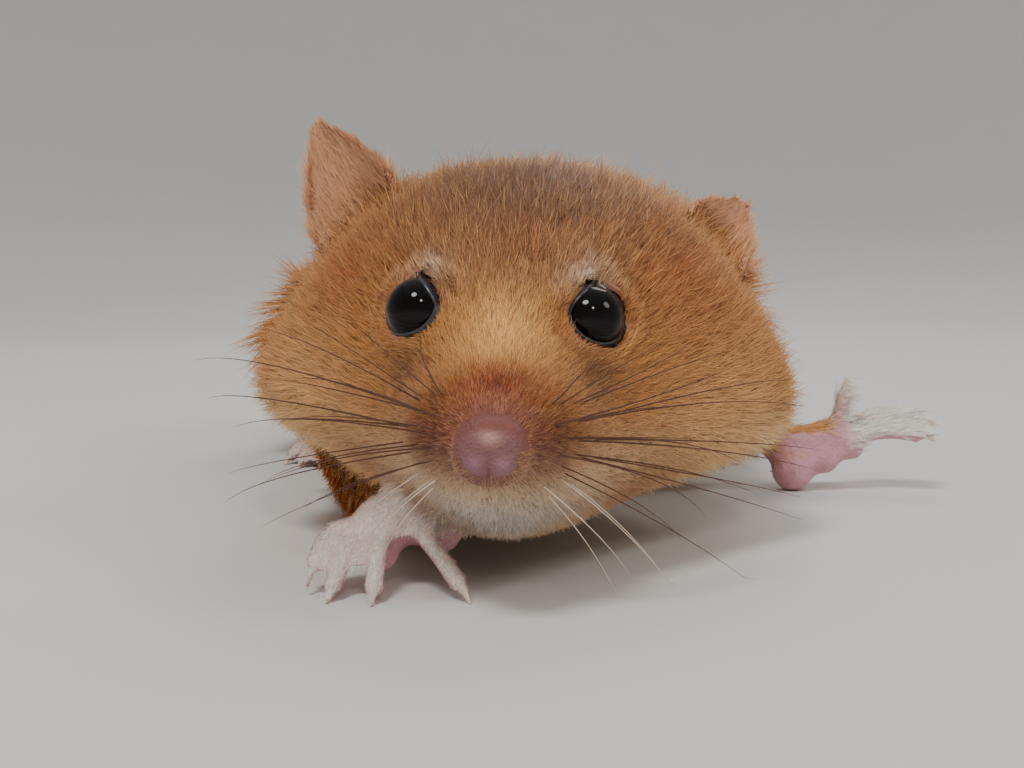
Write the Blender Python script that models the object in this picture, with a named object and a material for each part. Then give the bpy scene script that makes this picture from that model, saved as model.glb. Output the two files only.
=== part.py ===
"""Hazel dormouse, life size, crouching with its chin just off the floor.

The animal faces -Y, +X is its own left and +Z is up. The origin is on the floor, under the
middle of the belly. One run of cross-sections from the nose to the rump gives the head, the
neck and the torso, parted by thin cuts. The other parts are set on it from its named sizes.
"""

import math

import bmesh
import bpy
import numpy as np
from mathutils import Matrix, Vector

for old in list(bpy.data.objects):
    bpy.data.objects.remove(old)

MM = 0.001
GAP = 0.3 * MM
WELD = 0.005 * MM

# Where the head is held: the nose tip, and the turn to its right, the dip of the nose and the tilt.
NOSE_TIP = Vector((-0.8, -42.0, 6.6)) * MM
HEAD_YAW = math.radians(4.5)
HEAD_PITCH = math.radians(13.0)
HEAD_ROLL = math.radians(2.5)

# Lengths along the spine, measured back from the nose tip.
HEAD_LENGTH = 25.0 * MM
NECK_LENGTH = 5.0 * MM
TORSO_START = HEAD_LENGTH + NECK_LENGTH + GAP
TORSO_END = 72.8 * MM

HEAD_FRAME = (
    Matrix.Translation(NOSE_TIP)
    @ Matrix.Rotation(-HEAD_YAW, 4, "Z")
    @ Matrix.Rotation(HEAD_PITCH, 4, "X")
    @ Matrix.Rotation(HEAD_ROLL, 4, "Y")
)
HEAD_BACK = (HEAD_FRAME.to_3x3() @ Vector((0, 1, 0))).normalized()

# The cross-sections, in mm: distance from the nose, half width, rise of the back above the spine line,
# drop of the belly below it, height of the widest place, and how square the upper and lower halves are.
SECTIONS = (
    (0.3, 1.00, 0.9, 1.2, 0.0, 1.00, 1.00),
    (1.4, 2.00, 1.8, 2.1, -0.2, 1.00, 0.95),
    (3.0, 3.00, 2.5, 3.5, -0.5, 1.00, 0.95),
    (5.5, 4.30, 3.4, 5.4, -1.1, 1.00, 1.00),
    (8.0, 5.80, 4.5, 7.0, -1.7, 0.95, 1.05),
    (11.0, 8.00, 6.0, 7.5, -2.2, 0.90, 1.00),
    (14.0, 10.00, 7.1, 7.7, -2.6, 0.90, 0.95),
    (17.5, 11.20, 7.7, 7.9, -2.8, 0.90, 0.90),
    (21.0, 11.40, 7.6, 8.1, -2.7, 0.90, 0.90),
    (25.0, 11.60, 6.9, 8.6, -2.4, 0.90, 0.92),
    (30.0, 12.00, 6.0, 10.0, -2.0, 0.92, 0.95),
    (38.0, 13.40, 7.2, 12.8, -2.0, 0.95, 0.95),
    (49.0, 15.60, 9.3, 12.4, -2.5, 0.95, 1.05),
    (59.0, 15.80, 11.1, 11.3, -2.5, 0.95, 1.10),
    (66.5, 13.60, 10.3, 9.5, -2.0, 0.95, 1.00),
    (71.3, 9.00, 7.0, 7.2, -1.0, 1.00, 1.00),
    (73.5, 4.60, 3.4, 4.0, -0.5, 1.00, 1.00),
)

# The spine line behind the head, in mm: distance from the nose, then the place.
SPINE_BEHIND = (
    (40.0, 0.8, -3.4, 12.3),
    (49.5, 0.0, 6.0, 11.9),
    (59.0, 0.0, 15.4, 10.8),
    (66.5, 0.0, 22.6, 8.9),
    (73.5, 0.3, 29.0, 6.6),
)

# Bulges and hollows of the face, in the head's frame in mm: to the side, back, up, reach, height.
FACE_FORMS = (
    (3.5, 10.2, 5.6, 2.2, 0.30),
    (2.5, 3.4, -0.9, 1.7, 0.45),
    (3.1, 6.0, 2.3, 1.7, -0.30),
    (0.0, 6.5, 3.9, 2.2, 0.20),
    (0.0, 5.6, -5.3, 1.6, 0.40),
    (6.2, 9.0, -1.5, 2.2, 0.25),
    (11.5, 19.0, -5.0, 5.0, 2.70),
)

# The eyes, the nose and the mouth, in the head's frame.
EYE_PLACE = Vector((3.32, 9.05, 2.70)) * MM
EYE_RADIUS = 1.5 * MM
EYE_FACING = Vector((0.54, -0.68, 0.50)).normalized()
LID_HALF_WIDTH = 1.42 * MM
LID_HALF_HEIGHT = 1.55 * MM
LID_THICKNESS = 0.26 * MM

NOSE_PLACE = Vector((0.0, 0.50, -0.3)) * MM
NOSE_SIZE = Vector((1.45, 1.00, 1.30)) * MM
NOSTRIL_PLACE = Vector((0.82, -0.42, -0.35)) * MM
NOSTRIL_SIZE = Vector((0.33, 0.60, 0.25)) * MM
NOSE_GROOVE = Vector((0.10, 0.35, 0.80)) * MM
LIP_CLEFT = Vector((0.13, 0.90, 0.75)) * MM

MOUTH_HEIGHT = -2.6 * MM
MOUTH_FALL = 1.5 * MM
MOUTH_BACK = 7.2 * MM
MOUTH_GROOVE = 0.30 * MM
MOUTH_INNER = Vector((3.7, 5.0)) * MM
MOUTH_OUTER = Vector((5.8, 8.0)) * MM

# The ears, in world mm: the inner end of the root, its outer end and the tip. The left one is laid back.
EARS = {
    "ear_right": ((-5.8, -23.0, 17.5), (-10.0, -20.5, 13.6), (-10.2, -20.5, 20.8)),
    "ear_left": ((8.6, -23.0, 16.1), (12.3, -20.2, 11.8), (12.4, -17.9, 17.1)),
}
EAR_THICKNESS = 0.55 * MM
EAR_CUP = 1.3 * MM
EAR_SUNK = 0.30

# Paws and feet, in world mm. A palm's row is a place and a radius, "flat" is the way across it and how
# thin it is that way, a digit is its knuckle, joint and tip, and a pad is a place and a radius.
DIGIT_RADIUS = 0.46
CLAW_LENGTH = 0.95
FOREPAW_RIGHT = {
    "palm": ((-5.15, -31.2, 2.7, 1.20), (-5.3, -32.7, 2.6, 1.50), (-5.5, -34.2, 2.1, 1.30)),
    "flat": ((0.0, 0.55, 0.85), 0.60),
    "digits": (
        ((-4.3, -33.6, 2.4), (-3.4, -35.2, 2.0), (-2.1, -37.0, 0.62)),
        ((-5.2, -34.0, 2.2), (-5.4, -35.6, 1.9), (-5.5, -37.4, 0.45)),
        ((-6.2, -33.9, 2.0), (-6.8, -35.3, 1.7), (-7.2, -36.9, 0.45)),
        ((-6.5, -33.3, 2.3), (-7.7, -34.2, 2.2), (-8.1, -35.4, 1.1)),
    ),
    "pads": ((-3.9, -32.9, 2.3, 0.95), (-2.9, -33.3, 2.0, 0.85), (-5.5, -34.0, 1.3, 0.80)),
}
FOREPAW_LEFT = {
    "palm": (
        (15.7, -6.6, 3.0, 1.25), (17.6, -6.6, 2.6, 1.50),
        (19.6, -6.5, 3.0, 1.45), (20.9, -6.4, 3.3, 1.15),
    ),
    "flat": ((0.1, 0.75, 0.65), 0.68),
    "digits": (
        ((19.8, -6.6, 3.6), (20.1, -6.9, 4.9), (20.3, -7.0, 6.0)),
        ((20.6, -7.1, 3.1), (22.6, -7.6, 3.6), (24.7, -7.9, 3.4)),
        ((20.8, -6.4, 3.5), (22.9, -6.5, 4.4), (25.0, -6.8, 4.2)),
        ((20.5, -5.7, 3.5), (22.6, -5.4, 4.5), (24.6, -5.7, 4.5)),
    ),
    "pads": ((17.2, -7.1, 1.25, 1.35), (19.1, -7.2, 1.95, 1.00), (20.8, -7.0, 2.70, 0.90)),
}
HINDFOOT_LEFT = {
    "palm": (
        (10.6, 19.6, 1.7, 1.50), (11.4, 14.5, 1.4, 1.60),
        (12.6, 9.0, 1.35, 1.90), (13.0, 7.2, 1.2, 1.50),
    ),
    "flat": ((0.0, 0.0, 1.0), 0.62),
    "digits": (
        ((11.7, 8.6, 1.0), (10.7, 7.2, 1.1), (10.1, 5.9, 0.45)),
        ((12.1, 7.6, 1.1), (11.8, 5.7, 1.5), (11.6, 3.6, 0.45)),
        ((12.9, 7.2, 1.1), (13.0, 5.2, 1.6), (13.1, 2.9, 0.45)),
        ((13.6, 7.5, 1.1), (14.2, 5.7, 1.5), (14.5, 3.6, 0.45)),
        ((14.1, 8.3, 1.0), (15.0, 6.9, 1.3), (15.6, 5.4, 0.45)),
    ),
    "pads": (
        (12.0, 9.4, 0.45, 0.85), (13.7, 9.0, 0.45, 0.85),
        (11.7, 13.0, 0.5, 0.9), (12.9, 11.6, 0.5, 0.9),
    ),
}

# The legs, in world mm: places and radii from the body out to the paw.
FORELEG_RIGHT = (
    (-9.0, -9.5, 6.0, 4.0),
    (-8.0, -17.0, 3.0, 2.6),
    (-6.4, -24.5, 2.1, 1.9),
    (-5.3, -30.0, 2.4, 1.4),
)
FORELEG_LEFT = ((9.0, -8.5, 7.6, 4.4), (12.4, -7.4, 4.8, 2.8), (15.0, -6.7, 3.2, 1.6))
HAUNCH_LEFT = ((12.9, 6.0, 6.2, 4.0), (12.9, 11.5, 8.4, 6.6), (12.4, 17.0, 7.9, 6.9), (10.9, 22.2, 5.6, 4.6))

# The tail, in world mm: places and radii from the rump to the tip, out to the ends of its hair.
TAIL_PATH = (
    (0.3, 21.0, 8.2, 3.6),
    (0.7, 31.0, 5.9, 4.0),
    (2.2, 42.0, 4.5, 4.4),
    (4.4, 53.0, 4.6, 4.8),
    (5.2, 65.0, 4.6, 4.9),
    (3.2, 76.5, 4.4, 4.5),
    (-0.6, 86.0, 3.6, 3.4),
    (-3.0, 91.0, 2.9, 1.6),
)
TAIL_NODES = (("tail_base", 0.0, 0.36), ("tail_middle", 0.36, 0.68), ("tail_tip", 0.68, 1.0))

# The tail's core and its locks of hair, as shares of the radius, numbers, and sizes in mm.
TAIL_CORE = 0.5
LOCK_ROWS = 9
LOCKS_ROUND = 7
LOCK_LENGTH = 13.0
LOCK_WIDTH = 4.2
LOCK_THICKNESS = 0.9
LOCK_ROOT = 0.34
LOCK_TIP = 0.97
LAST_ROW_LENGTH = 0.62
#              along, width and thickness of a lock, as shares of its own sizes
LOCK_SHAPE = ((0.0, 0.6, 1.0), (0.38, 1.0, 1.0), (0.8, 0.6, 0.7), (1.0, 0.0, 0.0))
TAIL_SOLVER = "MANIFOLD"
NO_WELD = 0.000001 * MM
TAIL_WELD = 0.002 * MM


# Small tools for shapes

def smooth(table, at):
    """A smooth curve through the rows of a table, read at one distance."""
    rows = np.array(table, float)
    s = rows[:, 0]
    slopes = np.gradient(rows[:, 1:], s, axis=0)
    i = int(np.clip(np.searchsorted(s, at) - 1, 0, len(s) - 2))
    step = s[i + 1] - s[i]
    t = np.clip((at - s[i]) / step, 0.0, 1.0)
    return (
        (2 * t**3 - 3 * t**2 + 1) * rows[i, 1:]
        + (t**3 - 2 * t**2 + t) * step * slopes[i]
        + (3 * t**2 - 2 * t**3) * rows[i + 1, 1:]
        + (t**3 - t**2) * step * slopes[i + 1]
    )


def spaced(start, end, count, crowd=1.0):
    """Distances from start to end. A crowd above 1 sets them closer at the start."""
    return [start + (end - start) * (k / (count - 1)) ** crowd for k in range(count)]


def curved(points, count):
    """Rows read evenly from a smooth curve through the given rows."""
    numbered = [(k, *row) for k, row in enumerate(points)]
    return [tuple(smooth(numbered, at)) for at in spaced(0, len(points) - 1, count)]


def linked(name, made):
    """A new object in the scene from a bmesh, which is freed."""
    mesh = bpy.data.meshes.new(name)
    made.to_mesh(mesh)
    made.free()
    obj = bpy.data.objects.new(name, mesh)
    bpy.context.scene.collection.objects.link(obj)
    return obj


def object_of(name, points, faces):
    """A mesh object from points in metres and faces, with its faces turned out."""
    made = bmesh.new()
    verts = [made.verts.new(p) for p in points]
    for face in faces:
        made.faces.new([verts[k] for k in face])
    bmesh.ops.recalc_face_normals(made, faces=made.faces)
    return linked(name, made)


def loft(name, rings, start=None, end=None):
    """A closed skin over rings of equal count. Each end closes to a point, by default its ring's middle."""
    count = len(rings[0])
    points = [p for ring in rings for p in ring]
    faces = []
    for r in range(len(rings) - 1):
        for k in range(count):
            after = (k + 1) % count
            faces.append((r * count + k, r * count + after, (r + 1) * count + after, (r + 1) * count + k))
    for ring, first, tip in ((rings[0], 0, start), (rings[-1], len(points) - count, end)):
        points.append(tip if tip is not None else sum(ring, Vector()) / count)
        for k in range(count):
            faces.append((first + k, first + (k + 1) % count, len(points) - 1))
    return object_of(name, points, faces)


def tube(name, path, sides=10, squash=None):
    """A tube along a path of rows: place in mm, radius in mm. Its ends are domed. A squash is a
    direction and a share: the tube is made thinner that way."""
    places = [Vector(row[:3]) * MM for row in path]
    radii = [row[3] * MM for row in path]
    rings = []
    across = None
    for k, place in enumerate(places):
        ahead = places[min(k + 1, len(places) - 1)] - places[max(k - 1, 0)]
        ahead.normalize()
        across = ahead.orthogonal().normalized() if across is None else across
        across = (across - ahead * across.dot(ahead)).normalized()
        up = ahead.cross(across)
        ring = []
        for n in range(sides):
            turn = 2 * math.pi * n / sides
            offset = (across * math.cos(turn) + up * math.sin(turn)) * radii[k]
            if squash is not None:
                offset -= squash[0] * offset.dot(squash[0]) * (1 - squash[1])
            ring.append(place + offset)
        rings.append(ring)
    first = places[0] - (places[1] - places[0]).normalized() * radii[0] * 0.5
    last = places[-1] + (places[-1] - places[-2]).normalized() * radii[-1] * 0.5
    return loft(name, rings, first, last)


def ball(name, place, size, frame=None, segments=16, rings=8):
    """An ellipsoid from its middle and half sizes, in metres, in a frame where one is given."""
    made = bmesh.new()
    bmesh.ops.create_uvsphere(made, u_segments=segments, v_segments=rings, radius=1.0)
    matrix = Matrix.Translation(place) @ Matrix.Diagonal((*size, 1.0))
    made.transform((frame or Matrix.Identity(4)) @ matrix)
    return linked(name, made)


def box(name, place, half, frame=None):
    """A box from its middle and half sizes, in metres, in a frame where one is given."""
    made = bmesh.new()
    bmesh.ops.create_cube(made, size=2.0)
    matrix = Matrix.Translation(place) @ Matrix.Diagonal((*half, 1.0))
    made.transform((frame or Matrix.Identity(4)) @ matrix)
    return linked(name, made)


def mirrored_place(place, side):
    """The place on the animal's left for side 1, or its mirror on the right for side -1."""
    return Vector((place.x * side, place.y, place.z))


def even(size):
    """Half sizes of a round ball."""
    return Vector((size, size, size))


def keep_largest(obj, weld=WELD):
    """Welds points that all but touch, then drops every closed surface of the object but its largest."""
    made = bmesh.new()
    made.from_mesh(obj.data)
    bmesh.ops.remove_doubles(made, verts=made.verts, dist=weld)
    bmesh.ops.dissolve_degenerate(made, edges=made.edges, dist=weld)
    left = set(made.faces)
    groups = []
    while left:
        group = []
        queue = [left.pop()]
        while queue:
            face = queue.pop()
            group.append(face)
            for edge in face.edges:
                for other in edge.link_faces:
                    if other in left:
                        left.discard(other)
                        queue.append(other)
        groups.append(group)
    groups.sort(key=len, reverse=True)
    for group in groups[1:]:
        bmesh.ops.delete(made, geom=group, context="FACES")
    made.to_mesh(obj.data)
    made.free()
    return obj


def boolean(obj, others, operation, solver="EXACT", weld=WELD):
    """One Boolean of the object with a list of closed meshes, which are then removed."""
    group = bpy.data.collections.new(obj.name + "_pieces")
    bpy.context.scene.collection.children.link(group)
    for other in others:
        bpy.context.scene.collection.objects.unlink(other)
        group.objects.link(other)
    step = obj.modifiers.new(operation, "BOOLEAN")
    step.operation = operation
    step.operand_type = "COLLECTION"
    step.collection = group
    step.solver = solver
    graph = bpy.context.evaluated_depsgraph_get()
    mesh = bpy.data.meshes.new_from_object(obj.evaluated_get(graph))
    obj.modifiers.clear()
    before = obj.data
    obj.data = mesh
    bpy.data.meshes.remove(before)
    for other in others:
        bpy.data.objects.remove(other)
    bpy.data.collections.remove(group)
    return keep_largest(obj, weld)


def joined(obj, pieces, solver="EXACT", weld=WELD):
    """The object made one with closed meshes that run into it."""
    return boolean(obj, pieces, "UNION", solver, weld)


def cut(obj, cutters, solver="EXACT", weld=WELD):
    """The object less each closed mesh in turn."""
    for cutter in cutters:
        boolean(obj, [cutter], "DIFFERENCE", solver, weld)
    return obj


def below_floor():
    """The space under the floor, as a cutter."""
    half = 0.2
    return box("below_floor", Vector((0, 0, -half)), even(half))


# The run of cross-sections

def spine_rows():
    """The spine line: straight through the head and neck along the head's axis, then over the back."""
    rows = []
    for back in (0.0, 10.0, 20.0, 30.0):
        rows.append((back, *(NOSE_TIP / MM + HEAD_BACK * back)))
    return rows + list(SPINE_BEHIND)


SPINE = spine_rows()


def spine_frame(at):
    """The place, the side and the up direction of the spine line, at a distance from the nose."""
    back = at / MM
    place = Vector(smooth(SPINE, back)) * MM
    step = 0.5
    end = SPINE[-1][0]
    ahead = Vector(smooth(SPINE, min(back + step, end)) - smooth(SPINE, max(back - step, 0.0)))
    ahead.normalize()
    side = ahead.cross(Vector((0, 0, 1))).normalized()
    up = side.cross(ahead)
    roll_ends = 26.0
    roll_fades_over = 14.0
    roll = HEAD_ROLL * (1 - min(max((back - roll_ends) / roll_fades_over, 0.0), 1.0))
    return (
        place,
        side * math.cos(roll) - up * math.sin(roll),
        up * math.cos(roll) + side * math.sin(roll),
    )


def face_push(across, back, up):
    """How far the face's bulges and hollows move a point, in mm, all in the head's frame."""
    total = 0.0
    for side, place, height, reach, rise in FACE_FORMS:
        apart = (abs(across) - side) ** 2 + (back - place) ** 2 + (up - height) ** 2
        total += rise * math.exp(-apart / reach**2)
    return total


def body_ring(at, count, grow=0.0):
    """One cross-section of the head, neck or torso. A grow widens it, for a cut with a gap."""
    width, rise, drop, widest, above, below = smooth(SECTIONS, at / MM)
    place, side, up = spine_frame(at)
    ring = []
    for k in range(count):
        turn = 2 * math.pi * k / count
        cosine, sine = math.cos(turn), math.sin(turn)
        square = above if sine >= 0 else below
        across = width * math.copysign(abs(cosine) ** square, cosine)
        height = widest + (rise - widest if sine >= 0 else drop + widest) * sine
        out = Vector((across, 0, height - widest)).normalized()
        push = face_push(across, at / MM, height) + grow / MM
        point = place + side * (across + out.x * push) * MM + up * (height + out.z * push) * MM
        point.z = max(point.z, 0.0)
        ring.append(point)
    return ring


def body_part(name, start, end, rings, count, grow=0.0, tip=None, crowd=1.0):
    """The body between two distances from the nose, as one closed piece."""
    places = spaced(start, end, rings, crowd)
    return loft(name, [body_ring(at, count, grow) for at in places], tip)


def make_neck():
    """The short neck, from the head's back face to the torso's front face."""
    return body_part("neck", HEAD_LENGTH + GAP, HEAD_LENGTH + NECK_LENGTH, 5, 36)


def body_cutter():
    """The head, neck and torso as one mesh, a gap wider all round, to cut what grows from them."""
    tip = HEAD_FRAME @ Vector((0, -GAP, 0))
    return body_part("body_cutter", SECTIONS[0][0] * MM, TORSO_END + GAP, 60, 40, GAP, tip, 1.25)


# Head, eyes and nose

def eye_frame(side):
    """A frame at the eye's middle, with Z out along its gaze and Y to the top of its opening."""
    gaze = mirrored_place(EYE_FACING, side)
    up = (Vector((0, 0, 1)) - gaze * gaze.z).normalized()
    across = up.cross(gaze)
    turn = Matrix((across, up, gaze)).transposed().to_4x4()
    return HEAD_FRAME @ Matrix.Translation(mirrored_place(EYE_PLACE, side)) @ turn


def lid_ring(name, side):
    """The raised rim of both lids, lying round the eyeball and peaked a little at the top."""
    frame = eye_frame(side)
    from_middle = EYE_RADIUS + GAP + 0.10 * MM
    peak = 0.10
    steps = 20
    sides = 6
    points = []
    faces = []
    for k in range(steps):
        turn = 2 * math.pi * k / steps
        tall = LID_HALF_HEIGHT * (1 + peak * max(math.sin(turn), 0.0) ** 3)
        middle = Vector((LID_HALF_WIDTH * math.cos(turn), tall * math.sin(turn), 0))
        radial = middle.normalized()
        middle.z = math.sqrt(from_middle**2 - middle.length**2)
        for n in range(sides):
            around = 2 * math.pi * n / sides
            lift = radial * math.cos(around) + Vector((0, 0, 1)) * math.sin(around)
            points.append(frame @ (middle + lift * LID_THICKNESS))
        for n in range(sides):
            after = (n + 1) % sides
            ahead = (k + 1) % steps * sides
            faces.append((k * sides + n, k * sides + after, ahead + after, ahead + n))
    return object_of(name, points, faces)


def mouth_cutter(name):
    """A thin curved slab that cuts the line of the mouth into the muzzle, from corner to corner."""
    steps = 12
    half_turn = math.radians(72)
    points = []
    faces = []
    for k in range(steps + 1):
        turn = half_turn * (2 * k / steps - 1)
        share = (1 - math.cos(turn)) / (1 - math.cos(half_turn))
        height = MOUTH_HEIGHT - MOUTH_FALL * share
        for reach in (MOUTH_OUTER, MOUTH_INNER):
            across, ahead = math.sin(turn) * reach.x, -math.cos(turn) * reach.y
            for half in (0.5, -0.5):
                place = Vector((across, MOUTH_BACK + ahead, height + half * MOUTH_GROOVE))
                points.append(HEAD_FRAME @ place)
    for k in range(steps):
        for n, after in ((0, 1), (1, 3), (3, 2), (2, 0)):
            faces.append((4 * k + n, 4 * k + after, 4 * k + 4 + after, 4 * k + 4 + n))
    last = 4 * steps
    faces += [(0, 1, 3, 2), (last, last + 1, last + 3, last + 2)]
    return object_of(name, points, faces)


def nose_pad(name, grow=0.0):
    """The bare pad of the nose."""
    return ball(name, NOSE_PLACE, NOSE_SIZE + even(grow), HEAD_FRAME, 16, 10)


def make_head():
    """The head, with its lids, the sockets of the eyes, the seat of the nose and the line of the mouth."""
    head = body_part("head", SECTIONS[0][0] * MM, HEAD_LENGTH, 26, 38, 0.0, NOSE_TIP, 1.35)
    joined(head, [lid_ring("lids", 1), lid_ring("lids", -1)])
    cutters = [nose_pad("nose_seat", GAP), mouth_cutter("mouth")]
    for side in (1, -1):
        cutters.append(ball("socket", Vector(), even(EYE_RADIUS + GAP), eye_frame(side), 18, 10))
    cleft_place = NOSE_PLACE - Vector((0, 0.25 * MM, NOSE_SIZE.z + 0.5 * MM))
    cutters.append(box("cleft", cleft_place, LIP_CLEFT, HEAD_FRAME))
    return cut(head, cutters)


def make_nose():
    """The nose, with a nostril each side and the groove between."""
    cutters = []
    for side in (1, -1):
        place = mirrored_place(NOSTRIL_PLACE, side)
        cutters.append(ball("nostril", place, NOSTRIL_SIZE, HEAD_FRAME, 10, 6))
    groove_place = NOSE_PLACE - Vector((0, NOSE_SIZE.y + 0.1 * MM, NOSE_SIZE.z * 0.5))
    cutters.append(box("groove", groove_place, NOSE_GROOVE, HEAD_FRAME))
    return cut(nose_pad("nose"), cutters)


def make_eye(name, side):
    """One eye, a whole ball."""
    return ball(name, Vector(), even(EYE_RADIUS), eye_frame(side), 18, 10)


# Ears

def ear_shell(name, roots):
    """The ear as a cupped sheet of even thickness, split into triangles alike on both faces."""
    inner, outer, tip = (Vector(v) * MM for v in roots)
    middle = (inner + outer) / 2
    half = (outer - inner) / 2
    stands = tip - middle
    opens = half.cross(stands).normalized()
    opens = -opens if opens.y > 0 else opens
    rows, columns = 9, 10
    narrowest = 0.14
    points = []
    for layer in (0.0, EAR_THICKNESS):
        for r in range(rows + 1):
            along = -EAR_SUNK + (1 + EAR_SUNK) * r / rows
            width = max((1 - max(along, 0.0) ** 1.5) ** 0.75, narrowest)
            for c in range(columns + 1):
                across = 2 * c / columns - 1
                back = EAR_CUP * (1 - across**2) * width + layer
                points.append(middle + stands * along + half * across * width - opens * back)
    stride = columns + 1
    sheet = stride * (rows + 1)
    faces = []
    for r in range(rows):
        for c in range(columns):
            a = r * stride + c
            b, d, e = a + 1, a + stride, a + stride + 1
            faces += [(a, b, e), (a, e, d)]
            faces += [(a + sheet, e + sheet, b + sheet), (a + sheet, d + sheet, e + sheet)]
    edge = list(range(columns))
    edge += [r * stride + columns for r in range(rows)]
    edge += [rows * stride + c for c in range(columns, 0, -1)]
    edge += [r * stride for r in range(rows, 0, -1)]
    for k, a in enumerate(edge):
        b = edge[(k + 1) % len(edge)]
        faces += [(a, a + sheet, b + sheet), (a, b + sheet, b)]
    return object_of(name, points, faces)


def make_ear(name, roots):
    """One ear, cut clear of the head that it stands on."""
    return cut(ear_shell(name, roots), [body_cutter()])


# Paws and feet

def flipped(foot):
    """The same foot for the other side."""
    return {
        "palm": tuple((-x, *rest) for x, *rest in foot["palm"]),
        "flat": foot["flat"],
        "digits": tuple(tuple((-x, *rest) for x, *rest in digit) for digit in foot["digits"]),
        "pads": tuple((-x, *rest) for x, *rest in foot["pads"]),
    }


def digit_and_claw(name, digit):
    """A finger or toe: bent at its joint, with a round pad at the end and a short curved claw."""
    knuckle, joint, tip = (Vector(p) for p in digit)
    rows = [(*knuckle, DIGIT_RADIUS * 1.1), (*joint, DIGIT_RADIUS * 0.95), (*tip, DIGIT_RADIUS * 1.05)]
    ahead = (tip - joint).normalized() * CLAW_LENGTH
    start = tip + Vector((0, 0, 0.12))
    hook = Vector((0, 0, -0.2))
    claw = [(*(start - ahead * 0.2), 0.30), (*(start + ahead * 0.5), 0.22), (*(start + ahead + hook), 0.10)]
    return [tube(name, curved(rows, 4), 7), tube(name + "_claw", claw, 5)]


def palm_of(name, foot, grow=0.0):
    """The flattened palm or sole."""
    normal, share = foot["flat"]
    rows = [(*row[:3], row[3] + grow / MM) for row in curved(foot["palm"], 6)]
    return tube(name, rows, 10, (Vector(normal).normalized(), share))


def make_paw(name, foot):
    """A paw or foot: palm, pads, digits and claws in one piece, flat where it stands on the floor."""
    pieces = []
    for number, digit in enumerate(foot["digits"]):
        pieces += digit_and_claw(f"{name}_digit_{number}", digit)
    for number, (x, y, z, radius) in enumerate(foot["pads"]):
        pieces.append(ball(f"{name}_pad_{number}", Vector((x, y, z)) * MM, even(radius * MM), None, 10, 6))
    paw = joined(palm_of(name, foot), pieces)
    return cut(paw, [below_floor()])


def make_forepaw(name, foot):
    """A forepaw, cut clear of the jaw that it may lie under."""
    return cut(make_paw(name, foot), [body_cutter()])


# Torso and legs

def make_torso(feet):
    """The torso, cut clear of the soles that are tucked under its sides."""
    torso = body_part("torso", TORSO_START, TORSO_END, 18, 32)
    return cut(torso, [palm_of("sole_cut", foot, 1.5 * GAP) for foot in feet])


def make_foreleg(name, path, paw):
    """One foreleg, from the side of the chest to the wrist."""
    cutters = [body_cutter(), palm_of("paw_cut", paw, GAP), below_floor()]
    return cut(tube(name, curved(path, 10), 14), cutters)


def make_haunch(name, path, foot):
    """The thigh and shank folded against the body, over the hind foot."""
    cutters = [body_cutter(), palm_of("foot_cut", foot, 1.5 * GAP), below_floor()]
    return cut(tube(name, curved(path, 10), 15), cutters)


# Tail

def tail_frame(share):
    """The place on the tail's line at a share of its length, its radius there and its three directions."""
    numbered = [(k / (len(TAIL_PATH) - 1), *row) for k, row in enumerate(TAIL_PATH)]
    x, y, z, radius = smooth(numbered, share)
    step = 0.01
    after, before = smooth(numbered, min(share + step, 1.0)), smooth(numbered, max(share - step, 0.0))
    ahead = Vector((after - before)[:3]).normalized()
    side = ahead.cross(Vector((0, 0, 1))).normalized()
    return Vector((x, y, z)), radius, ahead, side, side.cross(ahead)


def tail_length():
    """The length of the tail's line, in mm."""
    places = [tail_frame(share)[0] for share in spaced(0, 1, 40)]
    return sum((b - a).length for a, b in zip(places, places[1:]))


def tail_core(count=10, rings=14):
    """The tail's core, which the locks stand on."""
    lofted = []
    for share in spaced(0, 1, rings):
        place, radius, _, side, up = tail_frame(share)
        turns = [2 * math.pi * k / count for k in range(count)]
        outs = [(side * math.cos(turn) + up * math.sin(turn)) * radius * TAIL_CORE for turn in turns]
        lofted.append([(place + out) * MM for out in outs])
    return loft("tail_core", lofted)


def tail_lock(name, share, turn, length, width):
    """A flat tapered lock of hair that rises from the core and lies back along the tail to its outside."""
    whole = tail_length()
    rings = []
    for along, wide, thick in LOCK_SHAPE:
        place, radius, ahead, side, up = tail_frame(min(share + along * length / whole, 1.0))
        out = side * math.cos(turn) + up * math.sin(turn)
        reach = radius * (LOCK_ROOT + (LOCK_TIP - LOCK_ROOT) * (1 - (1 - along) ** 3))
        past_end = max(share * whole + along * length - whole, 0.0)
        spot = place + ahead * past_end + out * reach
        half = ahead.cross(out) * width * wide / 2
        deep = out * LOCK_THICKNESS * thick / 2
        rings.append([(spot + move) * MM for move in (half, deep, -half, -deep)])
    tip = rings.pop()[0]
    return loft(name, rings, None, tip)


def tail_locks():
    """The locks, in rows from the rump to the tip, each row turned half a place from the last."""
    draw = np.random.default_rng(11)
    locks = []
    reach = LOCK_LENGTH / tail_length()
    for row, share in enumerate(spaced(0.02, 1 - 0.55 * reach, LOCK_ROWS)):
        for number in range(LOCKS_ROUND):
            turn = 2 * math.pi * (number + 0.5 * (row % 2)) / LOCKS_ROUND + draw.uniform(-0.16, 0.16)
            length = LOCK_LENGTH * draw.uniform(0.88, 1.08)
            length *= LAST_ROW_LENGTH if row == LOCK_ROWS - 1 else 1.0
            width = LOCK_WIDTH * draw.uniform(0.85, 1.1)
            root = share + draw.uniform(-0.01, 0.01)
            locks.append(tail_lock(f"lock_{row}_{number}", root, turn, length, width))
    return locks


def past(share, side):
    """All that lies beyond the cut across the tail at a share of its length, ahead of it or behind."""
    place, _, ahead, across, up = tail_frame(share)
    half = 60.0
    turn = Matrix((across, ahead, up)).transposed().to_4x4()
    frame = Matrix.Translation((place + ahead * side * (half - GAP / MM / 2)) * MM) @ turn
    return box("past", Vector(), even(half * MM), frame)


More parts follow.
